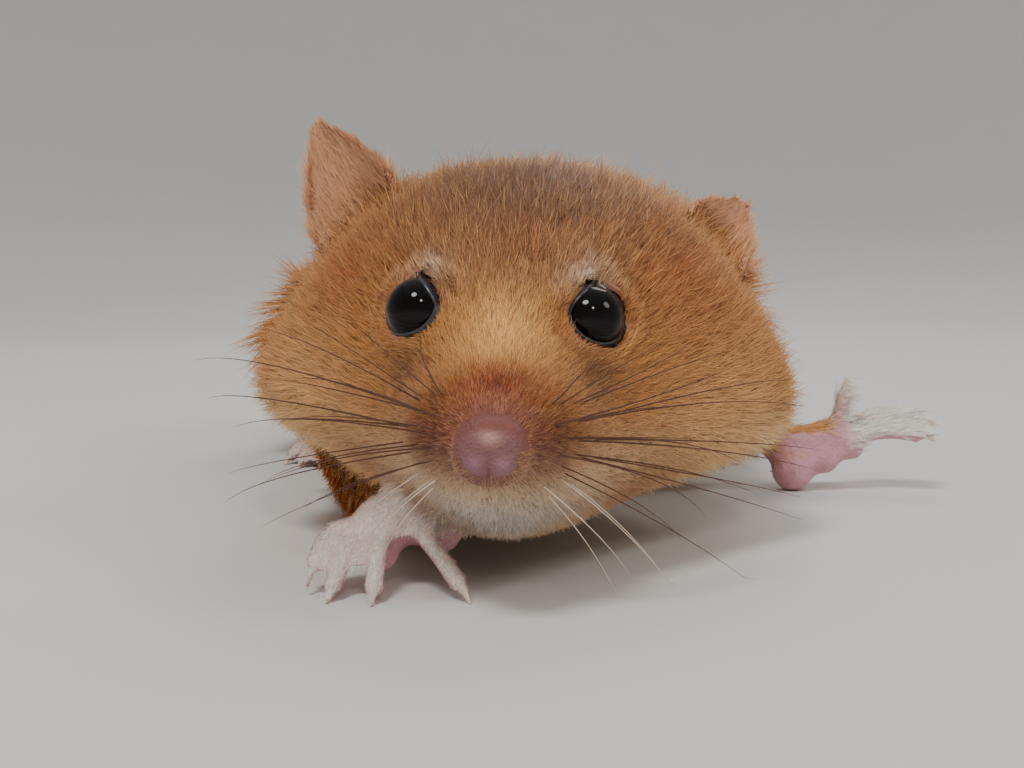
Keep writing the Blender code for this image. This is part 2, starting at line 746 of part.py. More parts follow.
def make_tail():
    """The tail, made whole and parted by thin cuts. It is cut clear of the rump and lies on the floor."""
    whole = joined(tail_core(), tail_locks(), TAIL_SOLVER, NO_WELD)
    cut(whole, [body_cutter(), below_floor()], TAIL_SOLVER, NO_WELD)
    lengths = []
    for name, start, end in TAIL_NODES:
        length = bpy.data.objects.new(name, whole.data.copy())
        bpy.context.scene.collection.objects.link(length)
        cutters = [past(share, side) for share, side in ((start, -1), (end, 1)) if 0 < share < 1]
        lengths.append(keep_largest(cut(length, cutters, TAIL_SOLVER, NO_WELD), TAIL_WELD))
    bpy.data.objects.remove(whole)
    return lengths


# Colours and roughness of each kind of surface, and the nodes that it is on.
MATERIALS = {
    "golden_fur": ((0.50, 0.23, 0.07), 0.85),
    "face_fur": ((0.46, 0.24, 0.09), 0.85),
    "tail_fur": ((0.47, 0.21, 0.07), 0.85),
    "ear_skin": ((0.45, 0.24, 0.14), 0.80),
    "bare_skin": ((0.62, 0.33, 0.31), 0.55),
    "eye_black": ((0.006, 0.006, 0.008), 0.06),
}
SLOT_OF = {
    "head": "face_fur",
    "neck": "golden_fur",
    "torso": "golden_fur",
    "nose": "bare_skin",
    "ear": "ear_skin",
    "eye": "eye_black",
    "forepaw": "bare_skin",
    "hindfoot": "bare_skin",
    "foreleg": "golden_fur",
    "hindleg": "golden_fur",
    "tail": "tail_fur",
}


def material_of(slot):
    """The plain finish of one kind of surface."""
    made = bpy.data.materials.get(slot)
    if made is None:
        made = bpy.data.materials.new(slot)
        made.use_nodes = True
        shader = made.node_tree.nodes["Principled BSDF"]
        colour, roughness = MATERIALS[slot]
        shader.inputs["Base Color"].default_value = (*colour, 1.0)
        shader.inputs["Roughness"].default_value = roughness
        shader.inputs["Metallic"].default_value = 0.0
    return made


def finish(obj):
    """Gives a node its material and smooth shading."""
    obj.data.materials.clear()
    obj.data.materials.append(material_of(SLOT_OF[obj.name.split("_")[0]]))
    obj.data.shade_smooth()
    obj.data.set_sharp_from_angle(angle=math.radians(50))


def main():
    feet = {"left": HINDFOOT_LEFT, "right": flipped(HINDFOOT_LEFT)}
    paws = {"left": FOREPAW_LEFT, "right": FOREPAW_RIGHT}
    forelegs = {"left": FORELEG_LEFT, "right": FORELEG_RIGHT}
    haunches = {"left": HAUNCH_LEFT, "right": tuple((-x, *rest) for x, *rest in HAUNCH_LEFT)}
    made = [make_head(), make_nose(), make_neck(), make_torso(feet.values())]
    for name, side in (("left", 1), ("right", -1)):
        made.append(make_eye(f"eye_{name}", side))
        made.append(make_ear(f"ear_{name}", EARS[f"ear_{name}"]))
        made.append(make_foreleg(f"foreleg_{name}", forelegs[name], paws[name]))
        made.append(make_forepaw(f"forepaw_{name}", paws[name]))
        made.append(make_haunch(f"hindleg_{name}", haunches[name], feet[name]))
        made.append(make_paw(f"hindfoot_{name}", feet[name]))
    for obj in made + make_tail():
        finish(obj)


main()
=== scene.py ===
"""Hazel dormouse, life size, a still museum model: hide, coat, whiskers, eyes, nose and claws.

The animal faces -Y and rests on the floor at z = 0. Points are worked out in millimetres and
turned into metres when a mesh is made.
"""

import math

import bmesh
import bpy
import numpy as np
from mathutils import Matrix, Vector
from mathutils.bvhtree import BVHTree


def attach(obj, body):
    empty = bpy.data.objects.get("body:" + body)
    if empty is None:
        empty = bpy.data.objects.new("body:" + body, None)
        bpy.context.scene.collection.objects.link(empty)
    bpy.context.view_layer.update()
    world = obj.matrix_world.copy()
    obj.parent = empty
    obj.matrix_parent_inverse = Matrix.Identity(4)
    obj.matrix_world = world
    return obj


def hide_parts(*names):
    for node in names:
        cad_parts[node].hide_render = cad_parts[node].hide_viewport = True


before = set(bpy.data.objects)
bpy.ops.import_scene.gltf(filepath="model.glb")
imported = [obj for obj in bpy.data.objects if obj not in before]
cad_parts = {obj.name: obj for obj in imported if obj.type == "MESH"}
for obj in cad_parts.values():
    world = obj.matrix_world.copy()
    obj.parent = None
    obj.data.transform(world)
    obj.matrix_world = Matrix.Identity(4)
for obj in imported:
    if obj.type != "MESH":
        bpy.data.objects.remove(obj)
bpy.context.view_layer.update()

# Hide. The skin of the whole animal in one piece, from the nose to the tip of the tail, with the
# ears, the legs and the paws. It is the outside of the body's solids, melted together where they
# meet, and then sunk by the depth of the coat that grows on it.

MM = 0.001
HIDE_VOXEL = 0.26
CLOSE_GAPS = 0.19
FLESH = sorted(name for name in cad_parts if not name.startswith("eye"))


def unit(rows):
    """Rows of vectors, each made one long."""
    return rows / np.maximum(np.linalg.norm(rows, axis=1, keepdims=True), 1e-9)


def ring_quads(rings, around, first=0):
    """The quads between closed rings of points that follow one another, each with as many points around."""
    here = np.arange(around)
    after = (here + 1) % around
    start = first + np.arange(rings - 1)[:, None] * around
    corners = [start + here, start + after, start + around + after, start + around + here]
    return np.stack(corners, axis=-1).reshape(-1, 4)


def mesh_object(name, points, faces, material, smooth=True):
    """A mesh object from points in mm and an array of faces that all have as many corners."""
    mesh = bpy.data.meshes.new(name)
    mesh.vertices.add(len(points))
    mesh.vertices.foreach_set("co", (np.asarray(points) * MM).astype(np.float32).ravel())
    corners = np.asarray(faces, np.int32)
    mesh.loops.add(corners.size)
    mesh.loops.foreach_set("vertex_index", corners.ravel())
    mesh.polygons.add(len(corners))
    starts = np.arange(0, corners.size, corners.shape[1], dtype=np.int32)
    mesh.polygons.foreach_set("loop_start", starts)
    mesh.update(calc_edges=True)
    if smooth:
        mesh.shade_smooth()
    mesh.materials.append(material)
    obj = bpy.data.objects.new(name, mesh)
    bpy.context.scene.collection.objects.link(obj)
    return obj


def note(obj, name, values):
    """Keeps one number, or one colour, for each point of a mesh, for its material to read."""
    values = np.asarray(values, np.float32)
    if values.ndim == 1:
        obj.data.attributes.new(name, "FLOAT", "POINT").data.foreach_set("value", values)
    else:
        values = np.column_stack([values, np.ones(len(values), np.float32)])
        obj.data.attributes.new(name, "FLOAT_COLOR", "POINT").data.foreach_set("color", values.ravel())


# The line of the tail and the radius of its flesh. The tail's solids reach out to the tips of its hair.
TAIL_LINE = np.array([
    (0.3, 21.0, 8.2), (0.7, 31.0, 5.9), (2.2, 42.0, 4.5), (4.4, 53.0, 4.6),
    (5.2, 65.0, 4.6), (3.2, 76.5, 4.4), (-0.6, 86.0, 3.6), (-3.0, 91.0, 2.9),
])
TAIL_FLESH = (2.3, 1.9, 1.7, 1.6, 1.5, 1.3, 1.0, 0.7)


def tail_flesh():
    """The flesh of the tail, a slim tube from inside the rump to the tip, in mm."""
    sides, length_steps = 16, 40
    at = np.linspace(0, len(TAIL_LINE) - 1, length_steps)
    rows = np.arange(len(TAIL_LINE))
    line = np.column_stack([np.interp(at, rows, TAIL_LINE[:, k]) for k in range(3)])
    radii = np.interp(at, rows, TAIL_FLESH)
    turns = np.arange(sides) * 2 * math.pi / sides
    tube = bmesh.new()
    rings = []
    for place, ahead, radius in zip(line, unit(np.gradient(line, axis=0)), radii):
        side = np.cross(ahead, (0, 0, 1))
        top = np.cross(side, ahead)
        spots = [place + (side * math.cos(t) + top * math.sin(t)) * radius for t in turns]
        rings.append([tube.verts.new(spot) for spot in spots])
    for ring, after in zip(rings, rings[1:]):
        for k in range(sides):
            tube.faces.new((ring[k], ring[(k + 1) % sides], after[(k + 1) % sides], after[k]))
    tube.faces.new(rings[0])
    tube.faces.new(rings[-1])
    bmesh.ops.recalc_face_normals(tube, faces=tube.faces)
    return tube


def melted_body():
    """The flesh solids swollen until they meet, then remeshed as one closed surface, in mm."""
    body = tail_flesh()
    for name in FLESH:
        if name.startswith("tail"):
            continue
        solid = bmesh.new()
        solid.from_mesh(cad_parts[name].data)
        bmesh.ops.remove_doubles(solid, verts=solid.verts, dist=1e-6)
        solid.normal_update()
        for vert in solid.verts:
            vert.co = (vert.co / MM) + vert.normal * CLOSE_GAPS
        swollen = bpy.data.meshes.new(name + "_swollen")
        solid.to_mesh(swollen)
        solid.free()
        body.from_mesh(swollen)
        bpy.data.meshes.remove(swollen)
    mesh = bpy.data.meshes.new("melted")
    body.to_mesh(mesh)
    body.free()
    obj = bpy.data.objects.new("melted", mesh)
    bpy.context.scene.collection.objects.link(obj)
    remesh = obj.modifiers.new("one_surface", "REMESH")
    remesh.mode = "VOXEL"
    remesh.voxel_size = HIDE_VOXEL
    whole = bpy.data.meshes.new_from_object(obj.evaluated_get(bpy.context.evaluated_depsgraph_get()))
    points = np.zeros(len(whole.vertices) * 3)
    whole.vertices.foreach_get("co", points)
    quads = np.array([face.vertices[:] for face in whole.polygons if len(face.vertices) == 4])
    bpy.data.objects.remove(obj)
    bpy.data.meshes.remove(mesh)
    bpy.data.meshes.remove(whole)
    return points.reshape(-1, 3), quads


class Neighbours:
    """Which points of a mesh are joined by an edge, kept so that values can be evened out over it."""

    def __init__(self, faces, count):
        ahead = np.roll(faces, -1, axis=1)
        ends = np.column_stack([faces.ravel(), ahead.ravel()])
        ends = np.unique(np.sort(ends, axis=1), axis=0)
        both = np.vstack([ends, ends[:, ::-1]])
        both = both[np.argsort(both[:, 0], kind="stable")]
        self.other = both[:, 1]
        self.first, self.many = np.unique(both[:, 0], return_index=True, return_counts=True)[1:]
        assert len(self.first) == count

    def mean(self, values):
        """The mean of each point's neighbours."""
        many = self.many if values.ndim == 1 else self.many[:, None]
        return np.add.reduceat(values[self.other], self.first, axis=0) / many

    def even(self, values, times, share=0.6):
        """The values, each drawn that many times by a share towards the mean of its neighbours."""
        for _ in range(times):
            values = values * (1 - share) + self.mean(values) * share
        return values


def point_normals(points, faces):
    """Normals at the points of a mesh of quads, weighted by the size of the faces round each."""
    a, b, c, d = (points[faces[:, k]] for k in range(4))
    face_normals = np.cross(c - a, d - b)
    total = np.zeros_like(points)
    for k in range(4):
        for axis in range(3):
            total[:, axis] += np.bincount(faces[:, k], face_normals[:, axis], len(points))
    return unit(total)


hide_points, hide_quads = melted_body()
used, hide_quads = np.unique(hide_quads, return_inverse=True)
hide_points, hide_quads = hide_points[used], hide_quads.reshape(-1, 4)
hide_net = Neighbours(hide_quads, len(hide_points))
hide_points = hide_net.even(hide_points, 2, 0.5)
hide_normals = point_normals(hide_points, hide_quads)


def nearest_nodes(points):
    """For each point, the number in FLESH of the solid whose surface is nearest."""
    corners, triangles, owner = [], [], []
    for number, name in enumerate(FLESH):
        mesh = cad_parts[name].data
        mesh.calc_loop_triangles()
        start = len(corners)
        corners += [v.co / MM for v in mesh.vertices]
        triangles += [tuple(start + k for k in tri.vertices) for tri in mesh.loop_triangles]
        owner += [number] * len(mesh.loop_triangles)
    tree = BVHTree.FromPolygons(corners, triangles)
    return np.array([owner[tree.find_nearest(Vector(p))[2]] for p in points])


hide_part = nearest_nodes(hide_points)


def part_of(*names):
    """Which points of the hide belong to the solids of these names."""
    numbers = [FLESH.index(name) for name in names]
    return np.isin(hide_part, numbers)


# The head's own frame: the nose tip, and how the head is turned, dipped and tilted.
NOSE_TIP = np.array([-0.8, -42.0, 6.6])
HEAD_TURN = (
    Matrix.Rotation(math.radians(-4.5), 3, "Z")
    @ Matrix.Rotation(math.radians(13.0), 3, "X")
    @ Matrix.Rotation(math.radians(2.5), 3, "Y")
)
HEAD_AXES = np.array(HEAD_TURN)


def in_head(points):
    """World points in mm as side, back and up from the nose tip, in the head's frame."""
    return (points - NOSE_TIP) @ HEAD_AXES


def from_head(points):
    """The way back, from the head's frame to the world, in mm."""
    return np.asarray(points) @ HEAD_AXES.T + NOSE_TIP


def between(values, low, high):
    """0 below low, 1 above high and an even climb between, with soft ends."""
    share = np.clip((values - low) / (high - low), 0, 1)
    return share * share * (3 - 2 * share)


# How the coat lies. At each point of the hide: the way that the hair runs, its length, how far it
# stands off, how wide a hair is drawn, how many grow on a square millimetre, and how deep it is.
RUNS, LENGTH, STANDS, WIDTH, MANY, DEPTH = slice(0, 3), 3, 4, 5, 6, 7
EARS = {
    "ear_right": ((-5.8, -23.0, 17.5), (-10.0, -20.5, 13.6), (-10.2, -20.5, 20.8)),
    "ear_left": ((8.6, -23.0, 16.1), (12.3, -20.2, 11.8), (12.4, -17.9, 17.1)),
}
EYE_PLACE = (3.20, 9.05, 2.70)
EYE_FACING = Vector((0.54, -0.68, 0.50)).normalized()
EYE_RADIUS = 1.5
EYE_LEAN = math.radians(12)
RIGHT_EYE_SHIFT = 0.56
PEAK_OUT = 0.42
LID_WIDE, LID_TOP, LID_LOW = 1.38, 1.58, 1.28
LID_REACH = 1.40

#   runs, length in mm, stands in degrees, width in mm, many per square mm, depth in mm
LIE_OF = {
    "neck": ((0, 1, -0.05), 4.2, 20, 0.075, 40, 1.0),
    "torso": ((0, 1, -0.25), 6.2, 17, 0.095, 21, 1.6),
    "foreleg_left": ((1, 0.1, -0.3), 2.0, 16, 0.055, 65, 0.8),
    "foreleg_right": ((0.1, -1, -0.1), 1.9, 14, 0.050, 80, 0.7),
    "hindleg": ((0, 0.75, -0.65), 4.8, 15, 0.085, 26, 2.1),
    "forepaw_right": ((-0.1, -1, -0.05), 0.34, 10, 0.019, 420, 0.02),
    "forepaw_left": ((1, -0.1, 0.1), 1.0, 16, 0.032, 220, 0.02),
    "hindfoot": ((0, -1, 0), 0.45, 10, 0.028, 130, 0.02),
    "tail": ((0, 1, 0), 5.4, 33, 0.100, 44, 0.0),
    "head": ((0, 1, 0), 2.0, 24, 0.042, 85, 0.5),
    "nose": ((0, 1, 0), 0.4, 15, 0.03, 0, 0.0),
    "ear": ((0, 0, 1), 1.05, 15, 0.030, 230, 0.12),
}
#   the same values along the head, by mm back from the nose, and along the body, by mm of y
HEAD_FUR = {
    LENGTH: ((0, 0.36), (2, 0.48), (5, 0.72), (9, 1.05), (14, 1.75), (20, 2.6), (26, 3.4)),
    STANDS: ((0, 24), (3, 20), (6, 17), (20, 19)),
    WIDTH: ((0, 0.024), (5, 0.028), (10, 0.033), (16, 0.043), (26, 0.065)),
    MANY: ((0, 340), (4, 280), (9, 195), (14, 130), (20, 80), (26, 48)),
    DEPTH: ((0, 0.06), (3, 0.12), (6, 0.24), (10, 0.46), (16, 0.85), (26, 1.1)),
}
BODY_FUR = {
    LENGTH: ((-21, 3.5), (-8, 4.8), (6, 6.2)),
    STANDS: ((-21, 19), (6, 15)),
    WIDTH: ((-21, 0.066), (6, 0.095)),
    MANY: ((-21, 45), (-8, 32), (6, 22)),
    DEPTH: ((-21, 1.1), (-8, 1.5), (6, 2.2)),
}
hide_head = in_head(hide_points)
back_from_nose = hide_head[:, 1]
off_eye = hide_head - np.column_stack([
    np.where(hide_head[:, 0] > 0, EYE_PLACE[0], -EYE_PLACE[0] - RIGHT_EYE_SHIFT),
    np.tile(EYE_PLACE[1:], (len(hide_head), 1)),
])
from_eye = np.linalg.norm(off_eye, axis=1)


def eye_edge(turn):
    """The edge of the opening of the eye at a turn: how far it is from the middle of the eyeball, and at what
    angle. It has a peak at its top, bent outward."""
    rise = np.maximum(np.sin(turn), 0)
    wide = LID_WIDE * (1 - 0.60 * rise ** 1.3) * np.cos(turn) + PEAK_OUT * rise ** 2.5
    tall = np.where(np.sin(turn) > 0, LID_TOP * (1 + 0.07 * rise ** 8), LID_LOW) * np.sin(turn)
    return np.hypot(wide, tall), np.arctan2(tall, wide)


def rim_height(reach):
    """How far out along the gaze the eyeball's surface is, at a reach from its middle; beyond it, a slope."""
    on_ball = np.minimum(reach, LID_REACH)
    return np.sqrt((EYE_RADIUS + 0.01) ** 2 - on_ball ** 2) - np.maximum(reach - LID_REACH, 0) * 0.7


def eye_directions(side):
    """The outward, up and gaze directions of an eye in the head's frame, its opening leaning outward."""
    gaze = Vector((EYE_FACING.x * side, EYE_FACING.y, EYE_FACING.z))
    upright = (Vector((0, 0, 1)) - gaze * gaze.z).normalized()
    top = upright * math.cos(EYE_LEAN) + upright.cross(gaze) * math.sin(EYE_LEAN) * side
    return np.array([top.cross(gaze) * side, top, gaze]).T


eye_turn = eye_directions(1)


def about_eye(head_points):
    """Places in the head's frame as outward, up and along the gaze from the middle of the nearer eye."""
    side = head_points[:, 0]
    side = np.where(side > 0, side, -side - RIGHT_EYE_SHIFT)
    return (np.column_stack([side, head_points[:, 1:]]) - np.array(EYE_PLACE)) @ eye_turn


at_eye = about_eye(hide_head)
edge_turns = np.linspace(-math.pi, math.pi, 721)
edge_reach, edge_angle = eye_edge(edge_turns)
lid_at = np.interp(np.arctan2(at_eye[:, 1], at_eye[:, 0]), edge_angle, edge_reach)
past_lid = np.hypot(at_eye[:, 0], at_eye[:, 1]) - lid_at


def lie_of_coat():
    """The coat's values at each point of the hide, evened out where one part runs into the next."""
    count = len(hide_points)
    values = np.zeros((count, 8))
    for number, name in enumerate(FLESH):
        row = LIE_OF.get(name) or LIE_OF[name.split("_")[0]]
        values[hide_part == number] = (*row[0], *row[1:])
    head, body = part_of("head", "nose"), part_of("neck", "torso")
    runs = hide_head - np.array([0.0, -2.5, 0.2])
    runs = unit(runs) + np.outer(between(back_from_nose, 6, 22), (0, 1.2, 0))
    off = unit(off_eye)
    beside_eye = np.exp(-(np.maximum(from_eye - 1.6, 0) / 1.3) ** 2)
    runs -= off * (np.minimum((runs * off).sum(axis=1), 0) * beside_eye)[:, None] * 1.3
    values[head, RUNS] = (runs @ HEAD_AXES.T)[head]
    for here, along, fur in ((head, back_from_nose, HEAD_FUR), (body, hide_points[:, 1], BODY_FUR)):
        for column, curve in fur.items():
            at, value = zip(*curve)
            values[here, column] = np.interp(along, at, value)[here]
    values[:, LENGTH] *= 1 - 0.6 * (1 - between(from_eye, 1.5, 3.4)) * head
    for name, (inner, outer, tip) in EARS.items():
        here = part_of(name)
        middle = (np.array(inner) + np.array(outer)) / 2
        away = hide_points - middle
        values[here, RUNS] = (unit(np.array(tip)[None] - middle) * 1.2 + unit(away) * 0.8)[here]
        near_tip = between(hide_points[:, 2], tip[2] - 3, tip[2])
        values[here, LENGTH] *= (1 - 0.55 * near_tip)[here]
    tail = part_of("tail_base", "tail_middle", "tail_tip")
    ahead = unit(np.column_stack([
        np.interp(hide_points[:, 1], TAIL_LINE[:, 1], np.gradient(TAIL_LINE[:, k])) for k in range(3)
    ]))
    values[tail, RUNS] = ahead[tail]
    values[tail, LENGTH] *= (1 - 0.35 * between(hide_points[:, 1], 78, 91))[tail]
    return hide_net.even(values, 14)


coat_lie = lie_of_coat()

# Bare places: the lids, the pad of the nose, the palms and the soles. Inside the ears the coat is thinner.
from_nose = np.linalg.norm(hide_head - np.array([0, 0.4, -0.15]), axis=1)
head_part = part_of("head", "nose", "neck")
in_front = (at_eye[:, 2] > -2.6) * head_part
up, front_back = hide_normals[:, 2], hide_normals[:, 1]
right_paw, left_paw = part_of("forepaw_right"), part_of("forepaw_left")
feet = part_of("hindfoot_left", "hindfoot_right")
#   in mm of x: where the left paw's fingers begin, and where its upright finger ends
FINGERS_FROM, FINGER_TO = 20.6, 21.4
on_fingers = hide_points[:, 0] > FINGERS_FROM
furred = np.where(on_fingers, up + 0.25 * front_back + 0.25, up + 0.75 * front_back)
upright_finger = left_paw * between(hide_points[:, 2], 4.6, 5.2) * (hide_points[:, 0] < FINGER_TO)
ear_opening = np.zeros(len(hide_points))
for ear_name, (inner, outer, tip) in EARS.items():
    half = (np.array(outer) - np.array(inner)) / 2
    opens = np.cross(half, np.array(tip) - (np.array(inner) + np.array(outer)) / 2)
    opens = opens / np.linalg.norm(opens) * (-1 if opens[1] > 0 else 1)
    ear_opening += np.clip(hide_normals @ opens, -1, 1) * part_of(ear_name)
inside_ear = between(ear_opening, 0.45, 0.8)
bare = np.max([
    (1 - between(past_lid, 0.05, 0.17)) * in_front * (from_eye < 3),
    (1 - between(from_nose, 1.12, 1.42)) * head_part,
    (1 - between(up, -0.05, 0.35)) * right_paw,
    (1 - between(furred, -0.15, 0.3)) * left_paw * (1 - 0.65 * upright_finger),
    (1 - between(up, -0.3, 0.1)) * feet,
    0.25 * inside_ear,
], axis=0)
bare = np.clip(hide_net.even(bare, 2), 0, 1)
coat_lie[:, MANY] *= 1 - bare

# The hide sinks by the depth of the coat.
NOSE_SEAT = 0.45
coat_lie[:, DEPTH] += NOSE_SEAT * (1 - between(from_nose, 0.95, 1.35)) * head_part
near_lids = 1 - between(past_lid, 0.0, 1.5)
coat_lie[:, DEPTH] *= 1 - 0.8 * near_lids * head_part
hide_points = hide_points - hide_normals * (CLOSE_GAPS + coat_lie[:, DEPTH, None])
hide_points = hide_net.even(hide_points, 1, 0.4)

# Round each eye the hide meets the rim of the lids: no further out, so that no fur hides the eyeball, and
# no deeper, so that no hollow is left beside it.
UNDER_RIM = 0.04
at_eye = about_eye(in_head(hide_points))
highest = rim_height(np.minimum(lid_at, 1.9)) - UNDER_RIM + 0.30 * np.maximum(past_lid, 0)
near = (1 - between(past_lid, 0.9, 2.0)) * (at_eye[:, 2] > 0.1) * (from_eye < 4) * head_part
too_far = np.maximum(at_eye[:, 2] - highest, 0) * near
lowest = highest - 0.05 - 0.4 * np.maximum(past_lid, 0)
beside = between(past_lid, -0.04, 0.08) * (1 - between(past_lid, 0.8, 1.3)) * (at_eye[:, 2] > -2.6)
too_far -= np.maximum(lowest - at_eye[:, 2], 0) * beside * (from_eye < 3) * head_part
push = -too_far[:, None] * eye_turn[:, 2]
push[in_head(hide_points)[:, 0] <= 0, 0] *= -1
hide_points = hide_points + push @ HEAD_AXES.T
hide_points[:, 2] = np.maximum(hide_points[:, 2], 0.0)
hide_normals = point_normals(hide_points, hide_quads)
into_hide = (coat_lie[:, RUNS] * hide_normals).sum(axis=1, keepdims=True)
coat_lie[:, RUNS] = unit(coat_lie[:, RUNS] - hide_normals * into_hide)

# Colours of the coat and the bare skin, with painted shade on the face, which the hide and every hair share.


def tone(red, green, blue):
    """A colour as the eye names it, 0 to 255, in the linear values that the materials take."""
    value = np.array([red, green, blue]) / 255
    return np.where(value <= 0.04045, value / 12.92, ((value + 0.055) / 1.055) ** 2.4)


GOLD = tone(202, 134, 70)
BACK_GOLD = tone(198, 126, 62)
BELLY_CREAM = tone(234, 198, 150)
TAIL_GOLD = tone(194, 124, 62)
EAR_TONE = tone(240, 182, 138)
WRIST_GOLD = tone(226, 160, 92)
PAW_WHITE = tone(254, 250, 242)
PAW_BACK = tone(238, 204, 200)
SKIN_PINK = tone(216, 158, 168)
#   colour, side back up of its middle in the head's frame, its reach, how strong it is
FACE_MARKS_AND_SHADE = (
    (tone(214, 144, 82), (8.5, 11.0, 0.5), (4.5, 5.0, 4.0), 0.6),
    (tone(176, 94, 48), (7.6, 13.6, 4.0), (3.6, 4.6, 3.0), 0.75),
    (tone(118, 72, 42), (0.0, 15.5, 7.2), (6.6, 8.5, 3.2), 0.96),
    (tone(164, 100, 58), (0.0, 10.0, 5.2), (3.4, 3.6, 1.8), 0.72),
    (tone(252, 198, 132), (8.8, 12.6, -3.0), (4.6, 5.0, 2.6), 0.70),
    # painted shade: dark brown under the jaw
    (tone(160, 92, 54), (5.6, 9.0, -4.9), (3.6, 4.4, 2.0), 0.80),
    (tone(250, 188, 104), (0.0, 4.8, 3.1), (1.6, 2.6, 1.4), 0.95),
    (tone(206, 144, 100), (3.2, 4.4, 0.0), (1.3, 2.2, 2.2), 0.60),
    (tone(122, 60, 42), (1.9, 1.7, -0.2), (1.45, 1.8, 1.7), 0.95),
    (tone(164, 94, 90), (0.0, 0.6, 0.9), (1.7, 0.9, 0.8), 0.92),
    (tone(146, 92, 90), (0.0, 0.5, -0.7), (1.3, 1.3, 1.15), 0.97),
    (tone(138, 46, 10), (0.0, 1.9, 2.0), (2.2, 1.0, 0.95), 0.97),
    (tone(255, 236, 200), (3.7, 8.3, 4.75), (1.3, 1.5, 0.8), 0.97),
    # painted shade: a dark brown patch under each eye
    (tone(94, 56, 34), (3.5, 6.3, 1.1), (1.25, 1.8, 0.9), 0.80),
    (tone(220, 210, 208), (0.0, 3.3, -4.5), (3.6, 4.2, 1.9), 0.96),
)


def blob(head_points, place, reach):
    """A soft spot on both sides of the face: 1 at its middle, fading over its reach. The right one is
    shifted out like the right eye."""
    side = np.abs(head_points[:, 0]) - RIGHT_EYE_SHIFT * between(-head_points[:, 0], 0.5, 3.0)
    apart = np.column_stack([side, head_points[:, 1:]]) - np.array(place)
    return np.exp(-((apart / np.array(reach)) ** 2).sum(axis=1))


def markings_and_shade(points, normals):
    """The colour of the coat at places on the hide, in mm, with painted shade under the eyes and under the
    jaw.
    """
    head_points = in_head(points)
    low = between(-normals[:, 2], -0.15, 0.55) * between(11 - points[:, 2], 0, 6)
    colour = BACK_GOLD + (GOLD - BACK_GOLD) * between(-points[:, 1], -8, 18)[:, None]
    colour = colour + (BELLY_CREAM - colour) * low[:, None]
    behind = between(points[:, 1], 28, 36)[:, None]
    colour = colour + (TAIL_GOLD - colour) * behind
    facing = 1 - between(head_points[:, 1], 22, 30)
    for mark, place, reach, strong in FACE_MARKS_AND_SHADE:
        share = blob(head_points, place, reach) * strong * facing
        colour = colour + (mark - colour) * share[:, None]
    return colour


def ticking_at(points):
    """How many hairs have dark tips: most on the crown, some on the back, few on the cheeks."""
    head_points = in_head(points)
    crown = blob(head_points, (0.0, 15.0, 7.0), (7.0, 9.0, 4.0))
    back = between(points[:, 1], -14, 0) * between(points[:, 2], 9, 19)
    face = 0.02 + 0.10 * between(head_points[:, 1], 5, 12) * between(head_points[:, 2], -4, 0)
    return np.clip(face + 0.8 * crown + 0.35 * back, 0, 1)


PAW_PARTS = ("forepaw_left", "forepaw_right", "hindfoot_left", "hindfoot_right")
hide_colour = markings_and_shade(hide_points, hide_normals)
hide_colour[part_of(*PAW_PARTS)] = PAW_WHITE
on_wrist = (1 - between(hide_points[:, 0], 18.6, 20.4)) * part_of("forepaw_left")
hide_colour += (WRIST_GOLD - hide_colour) * on_wrist[:, None]
hide_colour[part_of("ear_left", "ear_right")] = EAR_TONE
hide_colour[part_of("foreleg_right")] = WRIST_GOLD
hide_colour = hide_net.even(hide_colour, 6)


def shader_group(name, sockets_in, sockets_out):
    """An empty node group with its sockets, and its input and output nodes."""
    group = bpy.data.node_groups.new(name, "ShaderNodeTree")
    for label, kind in sockets_in:
        group.interface.new_socket(label, in_out="INPUT", socket_type=kind)
    for label, kind in sockets_out:
        group.interface.new_socket(label, in_out="OUTPUT", socket_type=kind)
    return group, group.nodes.new("NodeGroupInput"), group.nodes.new("NodeGroupOutput")


def feed(tree, socket, value):
    """Joins an output to a socket, or sets the socket to a number or a colour."""
    if isinstance(value, bpy.types.NodeSocket):
        tree.links.new(value, socket)
    else:
        socket.default_value = (*value, 1.0) if np.ndim(value) else value


def math_node(tree, operation, *values, clamp=False):
    """A sum, product or the like of sockets and numbers."""
    node = tree.nodes.new("ShaderNodeMath")
    node.operation = operation
    node.use_clamp = clamp
    for socket, value in zip(node.inputs, values):
        feed(tree, socket, value)
    return node.outputs[0]


def mix_node(tree, factor, first, second, blend="MIX"):
    """A mix of two colours."""
    node = tree.nodes.new("ShaderNodeMix")
    node.data_type = "RGBA"
    node.blend_type = blend
    for slot, value in ((0, factor), (6, first), (7, second)):
        feed(tree, node.inputs[slot], value)
    return node.outputs[2]


def noise_node(tree, per_metre, detail=3.0, roughness=0.55):
    """Noise over the object's own space, given as how many lumps fit in a metre."""
    place = tree.nodes.new("ShaderNodeTexCoord")
    noise = tree.nodes.new("ShaderNodeTexNoise")
    noise.inputs["Detail"].default_value = detail
    noise.inputs["Roughness"].default_value = roughness
    tree.links.new(place.outputs["Object"], noise.inputs["Vector"])
    feed(tree, noise.inputs["Scale"], per_metre)
    return noise.outputs["Fac"]


def shaded(tree, colour, value):
    """A colour made lighter or darker."""
    node = tree.nodes.new("ShaderNodeHueSaturation")
    tree.links.new(colour, node.inputs["Color"])
    tree.links.new(value, node.inputs["Value"])
    return node.outputs["Color"]


